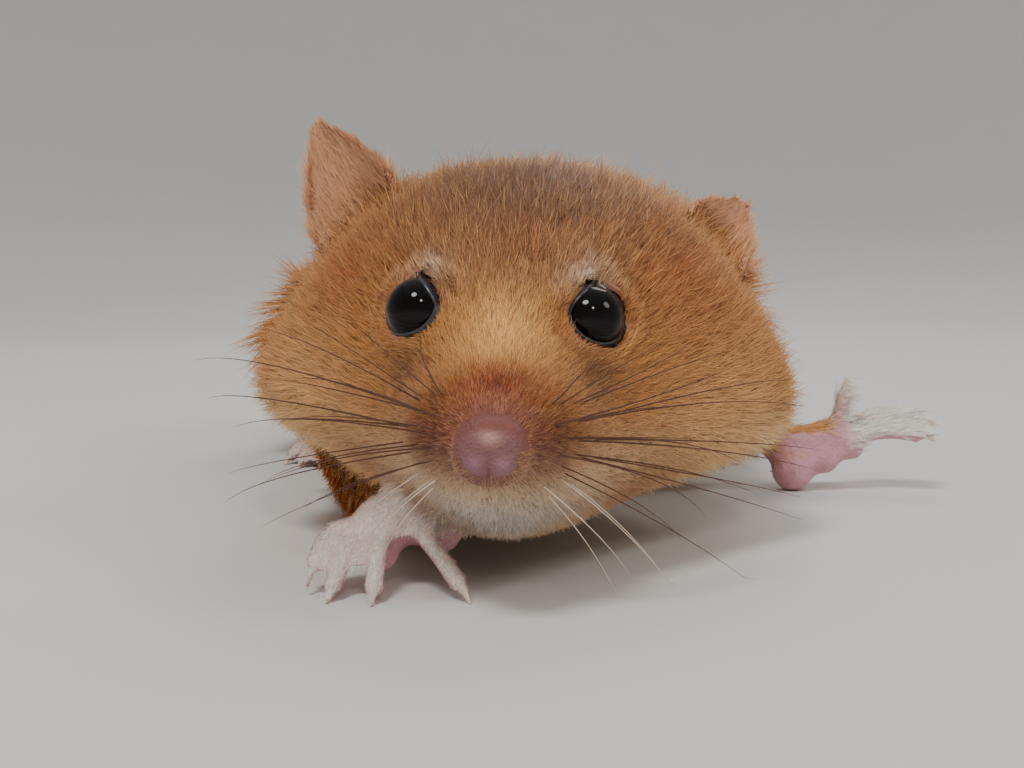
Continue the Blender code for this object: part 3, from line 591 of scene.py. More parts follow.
def patchy_group():
    """Uneven colour over a surface: soft lighter and darker patches of a size that each material sets."""
    group, given, result = shader_group(
        "uneven_tone",
        (("Colour", "NodeSocketColor"), ("Per metre", "NodeSocketFloat"), ("Strength", "NodeSocketFloat")),
        (("Colour", "NodeSocketColor"), ("Mask", "NodeSocketFloat")),
    )
    patches = noise_node(group, given.outputs["Per metre"], 4.0, 0.5)
    swing = math_node(group, "SUBTRACT", patches, 0.5)
    swing = math_node(group, "MULTIPLY", swing, given.outputs["Strength"])
    colour = shaded(group, given.outputs["Colour"], math_node(group, "ADD", swing, 1.0))
    group.links.new(colour, result.inputs["Colour"])
    group.links.new(patches, result.inputs["Mask"])
    return group


UNEVEN = patchy_group()


def read_note(tree, name, output="Fac"):
    """A number or colour that the mesh keeps for each point."""
    node = tree.nodes.new("ShaderNodeAttribute")
    node.attribute_name = name
    return node.outputs[output]


def uneven(tree, colour, per_metre, strength):
    """A colour made uneven by the uneven_tone group, and the mask of its patches."""
    node = tree.nodes.new("ShaderNodeGroup")
    node.node_tree = UNEVEN
    feed(tree, node.inputs["Colour"], colour)
    node.inputs["Per metre"].default_value = per_metre
    node.inputs["Strength"].default_value = strength
    return node.outputs["Colour"], node.outputs["Mask"]


def new_material(name):
    """A material, its tree of nodes and its Principled shader."""
    made = bpy.data.materials.new(name)
    made.use_nodes = True
    return made, made.node_tree, made.node_tree.nodes["Principled BSDF"]


def rough_by(tree, shader, patches, swing, least):
    """Roughness that follows patches: the least of it, and a swing on top where the patches are full."""
    feed(tree, shader.inputs["Roughness"], math_node(tree, "MULTIPLY_ADD", patches, swing, least))


def uneven_look(tree, shader, colour, per_metre, strength, swing, least):
    """A base colour and a roughness that go uneven in the same patches."""
    colour, patches = uneven(tree, colour, per_metre, strength)
    feed(tree, shader.inputs["Base Color"], colour)
    rough_by(tree, shader, patches, swing, least)


def let_light_in(shader, weight, radius, depth_mm):
    """Lets light into flesh or horn, with red going the deepest."""
    shader.inputs["Subsurface Weight"].default_value = weight
    shader.inputs["Subsurface Radius"].default_value = radius
    shader.inputs["Subsurface Scale"].default_value = depth_mm * MM


def bump(tree, shader, height, distance_mm, strength=1.0):
    """A bump from a height, into the shader's normal."""
    node = tree.nodes.new("ShaderNodeBump")
    node.inputs["Distance"].default_value = distance_mm * MM
    node.inputs["Strength"].default_value = strength
    tree.links.new(height, node.inputs["Height"])
    tree.links.new(node.outputs["Normal"], shader.inputs["Normal"])


def hide_material():
    """Skin: dull and the coat's own colour darkened as painted shade under the hair, pink, soft and finely
    wrinkled where bare.
    """
    made, tree, shader = new_material("hide")
    # painted shade: under the hair the skin takes the coat's colour made darker, for the shade beneath the
    # coat
    coat = mix_node(tree, 1.0, read_note(tree, "coat", "Color"), (0.60, 0.50, 0.44), "MULTIPLY")
    flesh, patches = uneven(tree, read_note(tree, "flesh", "Color"), 900, 0.55)
    feed(tree, shader.inputs["Base Color"], mix_node(tree, read_note(tree, "bare"), coat, flesh))
    rough_by(tree, shader, patches, 0.25, 0.38)
    let_light_in(shader, 0.25, (1.0, 0.4, 0.25), 0.6)
    bump(tree, shader, noise_node(tree, 2400, 4.0, 0.6), 0.20)
    return made


hide = mesh_object("hide", hide_points, hide_quads, hide_material())
note(hide, "coat", hide_colour)
note(hide, "bare", np.maximum(bare, 0.75 * hide_net.even(part_of(*PAW_PARTS) * (1.0 - on_wrist), 3)))
flesh_colour = np.tile(SKIN_PINK, (len(hide_points), 1))
flesh_marks = (
    (tone(62, 56, 64), (1 - between(past_lid, 0.06, 0.22)) * head_part * (from_eye < 3)),
    (tone(142, 84, 76), (1 - between(from_nose, 1.9, 3.4)) * head_part),
    (PAW_BACK, part_of(*PAW_PARTS) * (1 - bare)),
    (tone(214, 152, 128), inside_ear),
)
for mark, share in flesh_marks:
    flesh_colour += (mark - flesh_colour) * share[:, None]
note(hide, "flesh", flesh_colour)
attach(hide, "root")
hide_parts(*[name for name in FLESH if name != "nose"])


# Coat. Soft short hair over the whole animal, finest on the face and the paws and longest on the
# back and the tail. It grows in tufts whose tips draw together, each hair a thin blade that tapers.


def hair_material(name, root_shade, roughness, sheen, tips):
    """Hair: darker at the root as painted shade deep in the coat, the colour of the markings and the painted
    face shade along it, and on some a dark or a pale tip.
    """
    made, tree, shader = new_material(name)
    along, strand = read_note(tree, "along"), read_note(tree, "strand")
    colour, patches = uneven(tree, read_note(tree, "coat", "Color"), 420, 0.35)
    colour = shaded(tree, colour, math_node(tree, "MULTIPLY_ADD", strand, 0.62, 0.70))
    ticked = math_node(tree, "GREATER_THAN", read_note(tree, "ticking"), strand)
    ticked = math_node(tree, "MULTIPLY", ticked, math_node(tree, "POWER", along, 1.6), clamp=True)
    ticked = math_node(tree, "MULTIPLY", ticked, tips)
    colour = mix_node(tree, ticked, colour, tone(70, 42, 24))
    pale = math_node(tree, "GREATER_THAN", strand, 0.82)
    pale = math_node(tree, "MULTIPLY", math_node(tree, "MULTIPLY", pale, along), 0.4)
    colour = mix_node(tree, pale, colour, tone(238, 194, 126))
    # painted shade: the lower part of each hair is darkened by root_shade, for the shade deep in the coat
    root_shade_share = math_node(tree, "MULTIPLY", along, 2.2, clamp=True)
    root_shade_share = math_node(tree, "SUBTRACT", 1.0, root_shade_share, clamp=True)
    painted_root_shade = mix_node(tree, 1.0, colour, root_shade, "MULTIPLY")
    feed(tree, shader.inputs["Base Color"], mix_node(tree, root_shade_share, colour, painted_root_shade))
    rough_by(tree, shader, patches, 0.2, roughness)
    shader.inputs["Specular IOR Level"].default_value = 0.35
    shader.inputs["Sheen Weight"].default_value = sheen
    shader.inputs["Sheen Roughness"].default_value = 0.45
    return made


# root_shade of each kind of hair: how dark the painted shade at its roots is
COAT_HAIR = hair_material("coat_hair", (0.38, 0.30, 0.26), 0.56, 0.05, 0.66)
FINE_HAIR = hair_material("fine_hair", (0.90, 0.84, 0.82), 0.45, 0.10, 0.10)
ROOT_SUNK = 0.08
#   the size of a hair in its piece's unwrap, and its width at each joint, by how many joints it has
UNWRAP_PATCH = 0.003
TAPER = {2: (1.0, 0.72), 3: (1.0, 0.86, 0.55)}


def hide_triangles(names):
    """The hide's triangles on the solids of these names, each with its area."""
    here = part_of(*names)[hide_quads[:, 0]]
    quads = hide_quads[here]
    triangles = np.vstack([quads[:, :3], quads[:, [0, 2, 3]]])
    a, b, c = (hide_points[triangles[:, k]] for k in range(3))
    return triangles, np.linalg.norm(np.cross(b - a, c - a), axis=1) / 2


def round_axis(points, start, end):
    """The unwrap of a part of the hide: the turn round its own axis and the share along it, 0 to 1."""
    axis = np.array(end, float) - np.array(start, float)
    length = np.linalg.norm(axis)
    axis /= length
    side = np.cross(axis, (0.0, 0.0, 1.0) if abs(axis[2]) < 0.9 else (0.0, 1.0, 0.0))
    side /= np.linalg.norm(side)
    top = np.cross(side, axis)
    away = points - np.array(start)
    turn = np.arctan2(away @ top, away @ side) / (2 * math.pi) + 0.5
    return np.column_stack([turn, np.clip(away @ axis / length, 0, 1)])


def grow(name, parts, seed, tuft, spread, joints, material, columns=1, share=1.0, longer=1.0,
         lifted=1.0, slimmer=1.0, above=-1.3):
    """One piece of coat over parts of the hide, each a list of solids with the ends of its axis. A tuft is
    how many hairs grow together, spread how far apart in mm. Joints is how many lengths a hair has, and
    columns how many parts lie side by side in the unwrap. Longer, lifted and slimmer change what the hide
    says of the hairs. Above leaves out the hide whose normals rise less than that."""
    rng = np.random.default_rng(seed)
    fields = np.column_stack([hide_points, hide_normals, coat_lie, hide_colour])
    roots, unwraps = [], []
    for number, (names, start, end) in enumerate(parts):
        triangles, areas = hide_triangles(names)
        weights = areas * np.maximum(coat_lie[triangles, MANY].mean(axis=1), 0) * share
        weights *= between(hide_normals[triangles, 2].mean(axis=1), above - 0.3, above)
        count = int(weights.sum() / tuft)
        picked = np.searchsorted(np.cumsum(weights), rng.random(count) * weights.sum())
        picked = triangles[np.minimum(picked, len(triangles) - 1)]
        u, v = np.sqrt(rng.random(count)), rng.random(count)
        mix = np.column_stack([1 - u, u * (1 - v), u * v])
        root = (fields[picked] * mix[:, :, None]).sum(axis=1)
        unwrap = round_axis(root[:, :3], start, end) * 0.98 + 0.01
        roots.append(root)
        unwraps.append((unwrap + (number % columns, number // columns)) / columns)
    unwrap = np.vstack(unwraps)
    place, normal, lie, colour = np.split(np.vstack(roots), (3, 6, 14), axis=1)
    count = len(place)
    normal = unit(normal)
    run = unit(lie[:, RUNS] + rng.normal(0, 0.16, (count, 3)))
    run = unit(run - normal * (run * normal).sum(axis=1, keepdims=True))
    side = np.cross(normal, run)
    tuft_length = lie[:, LENGTH] * rng.normal(1, 0.12, count) * longer
    tuft_stands = lie[:, STANDS] * rng.uniform(0.7, 1.35, count) * lifted

    # Each hair of a tuft stands a little off its middle, and leans back towards it.
    each = np.repeat(np.arange(count), tuft)
    total = len(each)
    normal, run, side, tuft_length = normal[each], run[each], side[each], tuft_length[each]
    ring = np.sqrt(rng.random(total)) * spread
    turn = rng.random(total) * 2 * math.pi
    across, ahead = ring * np.cos(turn), ring * np.sin(turn)
    sunk = ROOT_SUNK * np.clip(tuft_length, 0.15, 1.0)
    start = place[each] + side * across[:, None] + run * ahead[:, None] - normal * sunk[:, None]
    sway = rng.normal(0, 0.13, total) - 0.55 * across / np.maximum(tuft_length, 0.4)
    way = unit(run + side * sway[:, None])
    length = np.maximum(tuft_length * rng.uniform(0.72, 1.15, total), 0.2)
    stands = np.radians(np.clip(tuft_stands[each] * rng.uniform(0.7, 1.3, total), 3, 75))
    roll = rng.uniform(-0.55, 0.55, total)
    cross = unit(np.cross(normal, way))
    face = cross * np.cos(roll)[:, None] + normal * np.sin(roll)[:, None]
    width = lie[each, WIDTH] * rng.uniform(0.75, 1.25, total) / slimmer

    # A hair is a blade with two points at each joint and one at its tip, bent down towards the tip.
    stride = 2 * joints + 1
    points = np.zeros((total, stride, 3))
    along = np.ones((total, stride))
    spot = start
    for joint in range(joints):
        half = face * (width * TAPER[joints][joint] / 2)[:, None]
        points[:, 2 * joint] = spot - half
        points[:, 2 * joint + 1] = spot + half
        along[:, 2 * joint:2 * joint + 2] = joint / joints
        lean = stands * (1.55 - 1.1 * (joint + 0.5) / joints)
        step = way * np.cos(lean)[:, None] + normal * np.sin(lean)[:, None]
        spot = spot + step * (length / joints)[:, None]
    points[:, -1] = spot
    points[:, :, 2] = np.maximum(points[:, :, 2], 0.02)
    triangles = []
    for a in range(0, 2 * joints - 2, 2):
        triangles += [(a, a + 3, a + 1), (a, a + 2, a + 3)]
    triangles.append((stride - 3, stride - 1, stride - 2))
    faces = (np.arange(total) * stride)[:, None, None] + np.array(triangles)[None]
    obj = mesh_object(name, points.reshape(-1, 3), faces.reshape(-1, 3), material)
    facing = np.repeat(unit(normal + 0.45 * np.cross(way, face)), stride, axis=0)
    soft = obj.data.attributes.new("custom_normal", "FLOAT_VECTOR", "POINT")
    soft.data.foreach_set("vector", facing.astype(np.float32).ravel())
    note(obj, "coat", np.repeat(np.clip(colour[each], 0, 1), stride, axis=0))
    note(obj, "along", along.ravel())
    note(obj, "strand", np.repeat(rng.random(total), stride))
    note(obj, "ticking", np.repeat(ticking_at(start), stride))
    patch = np.zeros((total, stride, 2))
    patch[:, :, 0] = (np.arange(stride) % 2 - 0.5) * UNWRAP_PATCH
    patch[:, :, 1] = (along - 0.5) * UNWRAP_PATCH
    patch = (patch + unwrap[each][:, None, :]).reshape(-1, 2)
    uv = obj.data.uv_layers.new(name="OFBake")
    uv.data.foreach_set("uv", patch[faces.ravel()].astype(np.float32).ravel())
    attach(obj, "root")
    return obj


HEAD_AXIS = (tuple(NOSE_TIP), tuple(from_head((0, 27, 0))))
for layer in range(4):
    grow(f"coat_head_{layer}", [(("head", "nose"), *HEAD_AXIS)], 100 + layer, 7, 0.22, 2, COAT_HAIR,
         share=0.25)
grow("coat_neck", [(("neck",), (0, -20, 11), (0, -8, 12))], 110, 7, 0.40, 3, COAT_HAIR)
TORSO_PART = (("torso",), (0, -14, 11), (0.3, 31, 8))
for layer in range(3):
    grow(f"coat_torso_{layer}", [TORSO_PART], 120 + layer, 7, 0.50, 3, COAT_HAIR, share=1 / 3)
grow("coat_guard", [(("head", "neck"), tuple(NOSE_TIP), (0, -8, 12))], 170, 1, 0.2, 3, COAT_HAIR,
     share=0.016, longer=1.25, lifted=1.3, slimmer=1.3, above=0.1)
LEG_PARTS = [
    (("foreleg_left",), (9, -8.5, 7.6), (15.5, -6.7, 3.2)),
    (("foreleg_right",), (-9, -9.5, 6), (-5.3, -30, 2.4)),
    (("hindleg_left",), (12.2, 4, 6), (10.6, 26, 6)),
    (("hindleg_right",), (-12.2, 4, 6), (-10.6, 26, 6)),
]
grow("coat_legs", LEG_PARTS, 130, 7, 0.4, 3, COAT_HAIR, columns=2)
TAIL_PART = (("tail_base", "tail_middle", "tail_tip"), (0, 28, 4.5), (2, 93, 4.5))
for layer in range(2):
    grow(f"coat_tail_{layer}", [TAIL_PART], 140 + layer, 7, 0.3, 3, COAT_HAIR, share=0.5)
PAW_AXES = [
    (("forepaw_left",), (14, -6.6, 2.6), (26, -7, 4)),
    (("forepaw_right",), (-5, -30, 2.5), (-5.5, -39, 0.8)),
    (("hindfoot_left",), (11, 21, 1.5), (13, 1, 1)),
    (("hindfoot_right",), (-11, 21, 1.5), (-13, 1, 1)),
]
grow("coat_paws", PAW_AXES, 150, 3, 0.16, 2, FINE_HAIR, columns=2)
EAR_AXES = [((name,), inner, tip) for name, (inner, outer, tip) in EARS.items()]
grow("coat_ears", EAR_AXES, 160, 5, 0.16, 2, FINE_HAIR, columns=2)


# Eyes. Two round, black, wet balls that bulge from the head, each in a close rim of dark lid with a
# peak at the top.


def eye_axes(side):
    """The place of an eye in mm, and its outward, up and gaze directions, in the world."""
    across = EYE_PLACE[0] if side > 0 else -EYE_PLACE[0] - RIGHT_EYE_SHIFT
    return from_head([across, EYE_PLACE[1], EYE_PLACE[2]]), HEAD_AXES @ eye_directions(side)


def eye_material():
    """A wet black eye: a very dark brown depth under a clear, glossy film."""
    made, tree, shader = new_material("eye_wet_black")
    uneven_look(tree, shader, (0.003, 0.0022, 0.002), 1200, 0.8, 0.05, 0.0)
    shader.inputs["IOR"].default_value = 1.30
    return made


def lid_material():
    """The rim of the lids: smooth slate-blue skin, damp at its edge."""
    made, tree, shader = new_material("lid_skin")
    uneven_look(tree, shader, tone(50, 48, 58), 2500, 0.9, 0.3, 0.18)
    shader.inputs["Coat Weight"].default_value = 0.4
    shader.inputs["Coat Roughness"].default_value = 0.15
    bump(tree, shader, noise_node(tree, 9000), 0.02)
    return made


OTHER_WAY_ROUND = [0, 3, 2, 1]


def sphere_grid(across, down):
    """Directions over a ball with a pole at each end of its third axis, and the quads between them."""
    turn = np.arange(across) * 2 * math.pi / across
    fall = (np.arange(down) + 0.5) / down * math.pi
    ways = np.array([[np.sin(f) * np.cos(t), np.sin(f) * np.sin(t), np.cos(f)] for f in fall for t in turn])
    return ways, ring_quads(down, across)[:, OTHER_WAY_ROUND]


def capped(points, quads, across):
    """The poles of a ball closed with a fan of narrow quads to one point each."""
    last = len(points) - across
    points = np.vstack([points, points[:across].mean(axis=0), points[last:].mean(axis=0)])
    top, low = len(points) - 2, len(points) - 1
    fans = []
    for k in range(0, across, 2):
        fans.append((k, (k + 1) % across, (k + 2) % across, top))
        fans.append((last + (k + 2) % across, last + (k + 1) % across, last + k, low))
    return points, np.vstack([quads, fans])


EYE_GLOSS = eye_material()
LID_SKIN = lid_material()
LID_STEPS = 96
#   the rings of a lid from inside to outside: how far each is past the edge, and its height over the ball
LID_PROFILE = (
    (-0.45, -0.30), (-0.10, -0.06), (-0.04, 0.02), (0.02, 0.07),
    (0.08, 0.07), (0.15, 0.02), (0.24, -0.10), (0.40, -0.35),
)
for label, side in (("left", 1), ("right", -1)):
    place, axes = eye_axes(side)
    ways, quads = sphere_grid(96, 64)
    cornea = 1 + 0.035 * np.exp(-((1 - ways[:, 2]) / 0.25) ** 2)
    shape, quads = capped(ways * (EYE_RADIUS * cornea)[:, None], quads, 96)
    quads = quads if side > 0 else quads[:, ::-1]
    eye = mesh_object(f"eyeball_{label}", shape @ axes.T + place, quads, EYE_GLOSS)
    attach(eye, "root")
    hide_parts(f"eye_{label}")

    reach, angle = eye_edge(2 * math.pi * np.arange(LID_STEPS) / LID_STEPS)
    rim = []
    for past, lift in LID_PROFILE:
        ring = reach + past
        rim.append(np.column_stack([ring * np.cos(angle), ring * np.sin(angle), rim_height(ring) + lift]))
    rim = np.vstack(rim)
    quads = ring_quads(len(LID_PROFILE), LID_STEPS)
    quads = quads if side > 0 else quads[:, ::-1]
    lid = mesh_object(f"lids_{label}", rim @ axes.T + place, quads, LID_SKIN)
    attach(lid, "root")


# Nose. A bare, moist pad of fine bumps, with a nostril at each side and a groove down its middle.


def nose_material():
    """Bare nose skin: mauve pink with a painted highlight on top, pebbled and a little moist."""
    made, tree, shader = new_material("nose_skin")
    uneven_look(tree, shader, read_note(tree, "flesh", "Color"), 1500, 0.5, 0.3, 0.50)
    let_light_in(shader, 0.12, (1.0, 0.35, 0.25), 0.5)
    place = tree.nodes.new("ShaderNodeTexCoord")
    pebbles = tree.nodes.new("ShaderNodeTexVoronoi")
    pebbles.inputs["Scale"].default_value = 7500
    tree.links.new(place.outputs["Object"], pebbles.inputs["Vector"])
    bump(tree, shader, pebbles.outputs["Distance"], 0.05, 0.8)
    return made


NOSE_PLACE = np.array([0.0, 0.55, -0.15])
NOSE_SIZE = np.array([1.40, 0.85, 1.38])
ways, quads = sphere_grid(120, 80)
ways = np.column_stack([ways[:, 0], -ways[:, 2], ways[:, 1]])
shape = np.sign(ways) * np.abs(ways) ** 0.86 * NOSE_SIZE
side, high = np.abs(shape[:, 0]), shape[:, 2]
front = ways[:, 1] < 0.2


def nose_spot(out_to, reach_out, up_to, reach_up):
    """On the nose, 1 at a place out to the side and up, fading over its reach each way, in mm."""
    return np.exp(-(((side - out_to) / reach_out) ** 2 + ((high - up_to) / reach_up) ** 2))


dent = 0.13 * nose_spot(0.60, 0.28, -0.82, 0.11)
dent += 0.12 * nose_spot(1.08, 0.13, -0.48, 0.28)
dent += 0.07 * np.exp(-((side / 0.07) ** 2)) * between(-high, 0.1, 0.7)
dent -= 0.16 * nose_spot(0.54, 0.34, -0.32, 0.34)
dent -= 0.10 * nose_spot(0, 0.55, 0.60, 0.42)
shape[:, 1] += dent * front
nose_colour = np.tile(tone(132, 86, 86), (len(shape), 1))
nose_marks_and_painted_light = (
    (tone(150, 108, 118), nose_spot(0.56, 0.42, -0.30, 0.40)),
    # painted highlight: a pale spot on top of the nose pad
    (tone(190, 146, 132), nose_spot(0, 0.40, 0.84, 0.34)),
    (tone(128, 68, 54), between(high, 0.75, 1.20)),
    (tone(126, 74, 64), between(np.hypot(side, high), 1.0, 1.38)),
    # painted shade: dark in the nostrils and the groove, as deep as the pad is dented
    (tone(84, 42, 44), np.clip(dent * 4.6, 0, 0.8) * front),
)
for mark, share in nose_marks_and_painted_light:
    nose_colour += (mark - nose_colour) * share[:, None]
shape, quads = capped(shape + NOSE_PLACE, quads, 120)
nose_colour = np.vstack([nose_colour, nose_colour[:1], nose_colour[-1:]])
nose_pad = mesh_object("nose_pad", from_head(shape), quads, nose_material())
note(nose_pad, "flesh", nose_colour)
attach(nose_pad, "root")
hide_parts("nose")


# Whiskers. Long springy hairs in rows on each side of the muzzle, dark brown and thick at the root,
# with some white ones low down, and one over each eye.


def plain_hair_material(name, colour, roughness):
    """One stiff hair colour, a little uneven along its length."""
    made, tree, shader = new_material(name)
    uneven_look(tree, shader, colour, 300, 0.6, 0.2, roughness)
    return made


LOWEST_HAIR = 0.15


def bent_hairs(name, hairs, material, sides=5, steps=14):
    """Thin tapered tubes. A hair is its root, first direction, length, bend at the tip and width, in mm."""
    points, quads = [], []
    for root, way, length, bend, width in hairs:
        root, way, bend = (np.array(v, float) for v in (root, way, bend))
        way /= np.linalg.norm(way)
        line = [root + way * length * s + bend * length * s ** 2.2 for s in np.linspace(0, 1, steps)]
        line = [np.array([*spot[:2], max(spot[2], LOWEST_HAIR)]) for spot in line]
        across = np.cross(way, (0.1, 0.2, 1.0))
        across /= np.linalg.norm(across)
        top = np.cross(way, across)
        quads.append(ring_quads(steps, sides, len(points)))
        for k, spot in enumerate(line):
            radius = width / 2 * (1 - k / (steps - 1)) ** 0.7 + 0.004
            for n in range(sides):
                turn = 2 * math.pi * n / sides
                points.append(spot + (across * math.cos(turn) + top * math.sin(turn)) * radius)
    obj = mesh_object(name, points, np.vstack(quads), material)
    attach(obj, "root")
    return obj


DARK_WHISKER = plain_hair_material("whisker_dark", tone(84, 46, 24), 0.50)
PALE_WHISKER = plain_hair_material("whisker_pale", tone(226, 206, 184), 0.30)

#   of each whisker on one side: root out, back and up on the muzzle, its way out, back and up, length, width
WHISKERS = (
    ((2.15, 2.0, 1.30), (0.72, 0.80, 0.62), 3.6, 0.085),
    ((2.30, 2.5, 1.05), (1.0, 0.55, 0.52), 7.0, 0.065),
    ((2.40, 2.8, 0.85), (1.0, 0.50, 0.38), 9.5, 0.070),
    ((2.55, 3.2, 0.70), (1.0, 0.62, 0.30), 12.0, 0.075),
    ((2.20, 1.9, 0.60), (1.0, 0.30, 0.26), 7.0, 0.075),
    ((2.35, 2.3, 0.45), (1.0, 0.40, 0.18), 9.0, 0.080),
    ((2.60, 2.8, 0.25), (1.0, 0.45, 0.12), 12.5, 0.085),
    ((2.85, 3.6, 0.10), (1.0, 0.62, 0.08), 17.0, 0.085),
    ((2.25, 1.8, 0.00), (1.0, 0.22, 0.04), 7.5, 0.080),
    ((2.40, 2.2, -0.15), (1.0, 0.32, -0.04), 9.5, 0.085),
    ((2.65, 2.7, -0.35), (1.0, 0.40, -0.08), 13.0, 0.090),
    ((2.95, 3.6, -0.55), (1.0, 0.58, -0.10), 18.0, 0.090),
    ((2.25, 1.8, -0.60), (1.0, 0.20, -0.18), 8.0, 0.080),
    ((2.45, 2.3, -0.80), (1.0, 0.28, -0.24), 10.5, 0.080),
    ((2.70, 2.9, -1.00), (1.0, 0.38, -0.26), 13.5, 0.080),
    ((3.00, 3.8, -1.25), (1.0, 0.50, -0.28), 15.0, 0.075),
    ((2.35, 2.0, -1.20), (1.0, 0.18, -0.38), 8.0, 0.070),
    ((2.50, 2.5, -1.50), (1.0, 0.24, -0.46), 9.5, 0.065),
)
PALE_WHISKERS = (
    ((2.10, 1.9, -1.80), (1.0, 0.05, -0.75), 6.0, 0.060),
    ((2.45, 2.6, -2.00), (1.0, 0.15, -0.85), 7.5, 0.060),
    ((2.70, 3.3, -2.10), (1.0, 0.25, -0.80), 9.0, 0.055),
    ((2.20, 2.3, -2.45), (0.8, 0.05, -1.00), 5.5, 0.055),
)
BROW_HAIRS = (
    ((3.9, 8.4, 4.9), (0.55, -0.05, 1.0), 4.2, 0.030),
)
WHISKER_SLIM = 0.84


def whiskers_of(rows, seed):
    """Both sides' whiskers from the rows of one side, each a little off its place and its way."""
    rng = np.random.default_rng(seed)
    hairs = []
    for side in (1, -1):
        for root, way, length, width in rows:
            root = (np.array(root) + rng.normal(0, 0.10, 3)) * (side, 1, 1)
            way = (np.array(way) + rng.normal(0, 0.05, 3)) * (side, 1, 1)
            droop = np.array([-0.14 * side, 0.34, -0.20]) + rng.normal(0, 0.06, 3)
            length = length * rng.uniform(0.85, 1.12)
            hairs.append((from_head(root), HEAD_AXES @ way, length, HEAD_AXES @ droop, width * WHISKER_SLIM))
    return hairs


bent_hairs("whiskers_dark", whiskers_of(WHISKERS + BROW_HAIRS, 7), DARK_WHISKER)
bent_hairs("whiskers_pale", whiskers_of(PALE_WHISKERS, 8), PALE_WHISKER)


# Claws. A small pale hooked claw at the end of each finger and toe, bedded in the skin.

#   the joint before the end, and the end, of each finger and toe, in mm
FINGERS = {
    "forepaw_right": (
        ((-3.4, -35.2, 2.0), (-2.1, -37.0, 0.62)), ((-5.4, -35.6, 1.9), (-5.5, -37.4, 0.45)),
        ((-6.8, -35.3, 1.7), (-7.2, -36.9, 0.45)), ((-7.7, -34.2, 2.2), (-8.1, -35.4, 1.1)),
    ),
    "forepaw_left": (
        ((20.1, -6.9, 4.9), (20.3, -7.0, 6.0)), ((22.6, -7.6, 3.6), (24.7, -7.9, 3.4)),
        ((22.9, -6.5, 4.4), (25.0, -6.8, 4.2)), ((22.6, -5.4, 4.5), (24.6, -5.7, 4.5)),
    ),
    "hindfoot_left": (
        ((10.7, 7.2, 1.1), (10.1, 5.9, 0.45)), ((11.8, 5.7, 1.5), (11.6, 3.6, 0.45)),
        ((13.0, 5.2, 1.6), (13.1, 2.9, 0.45)), ((14.2, 5.7, 1.5), (14.5, 3.6, 0.45)),
        ((15.0, 6.9, 1.3), (15.6, 5.4, 0.45)),
    ),
}
FINGERS["hindfoot_right"] = tuple(
    tuple((-x, y, z) for x, y, z in toe) for toe in FINGERS["hindfoot_left"]
)
CLAW_LENGTH = 1.26
CLAW_RINGS, CLAW_SIDES = 9, 12


def claw_material():
    """Horn: pale, yellowish and half clear."""
    made, tree, shader = new_material("claw_horn")
    uneven_look(tree, shader, tone(232, 208, 180), 1800, 0.5, 0.2, 0.22)
    let_light_in(shader, 0.4, (1.0, 0.7, 0.5), 0.4)
    return made


CLAW_HORN = claw_material()
for paw, fingers in FINGERS.items():
    points, quads = [], []
    for joint, end in fingers:
        joint, end = np.array(joint), np.array(end)
        way = (end - joint) / np.linalg.norm(end - joint)
        across = np.cross(way, (0, 0, 1.0))
        across /= np.linalg.norm(across)
        top = np.cross(across, way)
        base = end + np.array([0, 0, 0.12]) - way * 0.25
        quads.append(ring_quads(CLAW_RINGS, CLAW_SIDES, len(points)))
        for s in np.linspace(0, 1, CLAW_RINGS):
            middle = base + way * CLAW_LENGTH * s + np.array([0, 0, -0.34]) * s ** 2.2
            middle[2] = max(middle[2], 0.05)
            radius = 0.25 * (1 - s) ** 0.75 + 0.012
            for turn in np.arange(CLAW_SIDES) * 2 * math.pi / CLAW_SIDES:
                out, rise = math.cos(turn) * radius * 0.72, math.sin(turn) * radius
                points.append(middle + across * out + top * rise)
    claws = mesh_object(f"claws_{paw}", points, np.vstack(quads), CLAW_HORN)
    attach(claws, "root")


# Where it is shown: on a plain pale floor that curves up behind, in soft light from a wide window.


def stage_material():
    """Matt pale paper, hardly mottled."""
    made, tree, shader = new_material("pale_paper")
    feed(tree, shader.inputs["Base Color"], uneven(tree, tone(226, 223, 218), 40, 0.04)[0])
    shader.inputs["Roughness"].default_value = 0.9
    return made


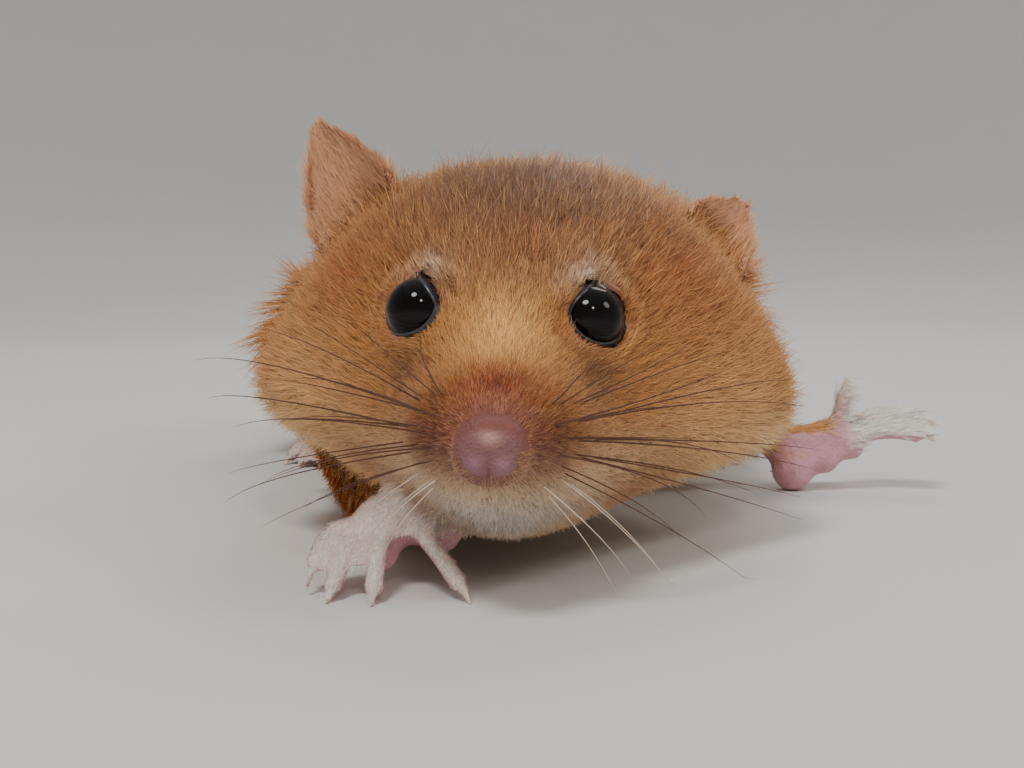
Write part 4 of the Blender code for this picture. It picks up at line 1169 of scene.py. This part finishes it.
FLAT_TO, RISE, ROUND = 260.0, 560.0, 128
bowl = [(reach, 0.0) for reach in (60, 120, 180, FLAT_TO)]
for k in range(1, 21):
    turn = math.radians(90 * k / 20)
    bowl.append((FLAT_TO + RISE * math.sin(turn), RISE * (1 - math.cos(turn))))
bowl += [(FLAT_TO + RISE, RISE + 200), (FLAT_TO + RISE, RISE + 500)]
turns = np.arange(ROUND) * 2 * math.pi / ROUND
stage_points = [(0.0, 0.0, 0.0)] + [(r * math.cos(t), r * math.sin(t), h) for r, h in bowl for t in turns]
middle_fan = [(0, 1 + k, 2 + k, 1 + (k + 2) % ROUND) for k in range(0, ROUND, 2)]
stage_quads = np.vstack([middle_fan, ring_quads(len(bowl), ROUND, 1)[:, OTHER_WAY_ROUND]])
backdrop = mesh_object("backdrop", stage_points, stage_quads, stage_material())


def area_light(name, place, target, size, power, colour):
    """A soft round light at a place in mm, turned to a target."""
    light = bpy.data.lights.new(name, "AREA")
    light.shape = "DISK"
    light.size = size * MM
    light.energy = power
    light.color = colour
    obj = bpy.data.objects.new(name, light)
    bpy.context.scene.collection.objects.link(obj)
    obj.location = Vector(place) * MM
    obj.rotation_euler = (Vector(target) - Vector(place)).to_track_quat("-Z", "Y").to_euler()


area_light("key_light", (-110, -240, 410), (0, -20, 5), 130, 1.05, (1.0, 0.995, 0.98))
area_light("second_light", (60, -330, 260), (0, -20, 5), 50, 0.20, (1.0, 0.97, 0.93))
area_light("side_light", (480, -170, 420), (0, -20, 5), 190, 0.62, (0.97, 0.98, 1.0))
area_light("back_light", (60, 260, 260), (0, 0, 8), 190, 0.30, (1.0, 0.97, 0.93))
world = bpy.data.worlds.new("soft_room")
world.use_nodes = True
sky = world.node_tree.nodes["Background"]
sky.inputs["Color"].default_value = (0.90, 0.93, 1.0, 1.0)
sky.inputs["Strength"].default_value = 0.48
bpy.context.scene.world = world

CAMERA_PLACE = Vector((0, -91.6, 12.6))
CAMERA_DIP = math.radians(4.1)
FOCAL_PIXELS, PICTURE_WIDTH = 1385, 1024
camera = bpy.data.cameras.new("camera")
camera.sensor_width = 36
camera.lens = FOCAL_PIXELS / PICTURE_WIDTH * camera.sensor_width
camera.clip_start = 0.001
camera_obj = bpy.data.objects.new("camera", camera)
bpy.context.scene.collection.objects.link(camera_obj)
camera_obj.location = CAMERA_PLACE * MM
camera_obj.rotation_euler = (math.radians(90) - CAMERA_DIP, 0, 0)
bpy.context.scene.camera = camera_obj
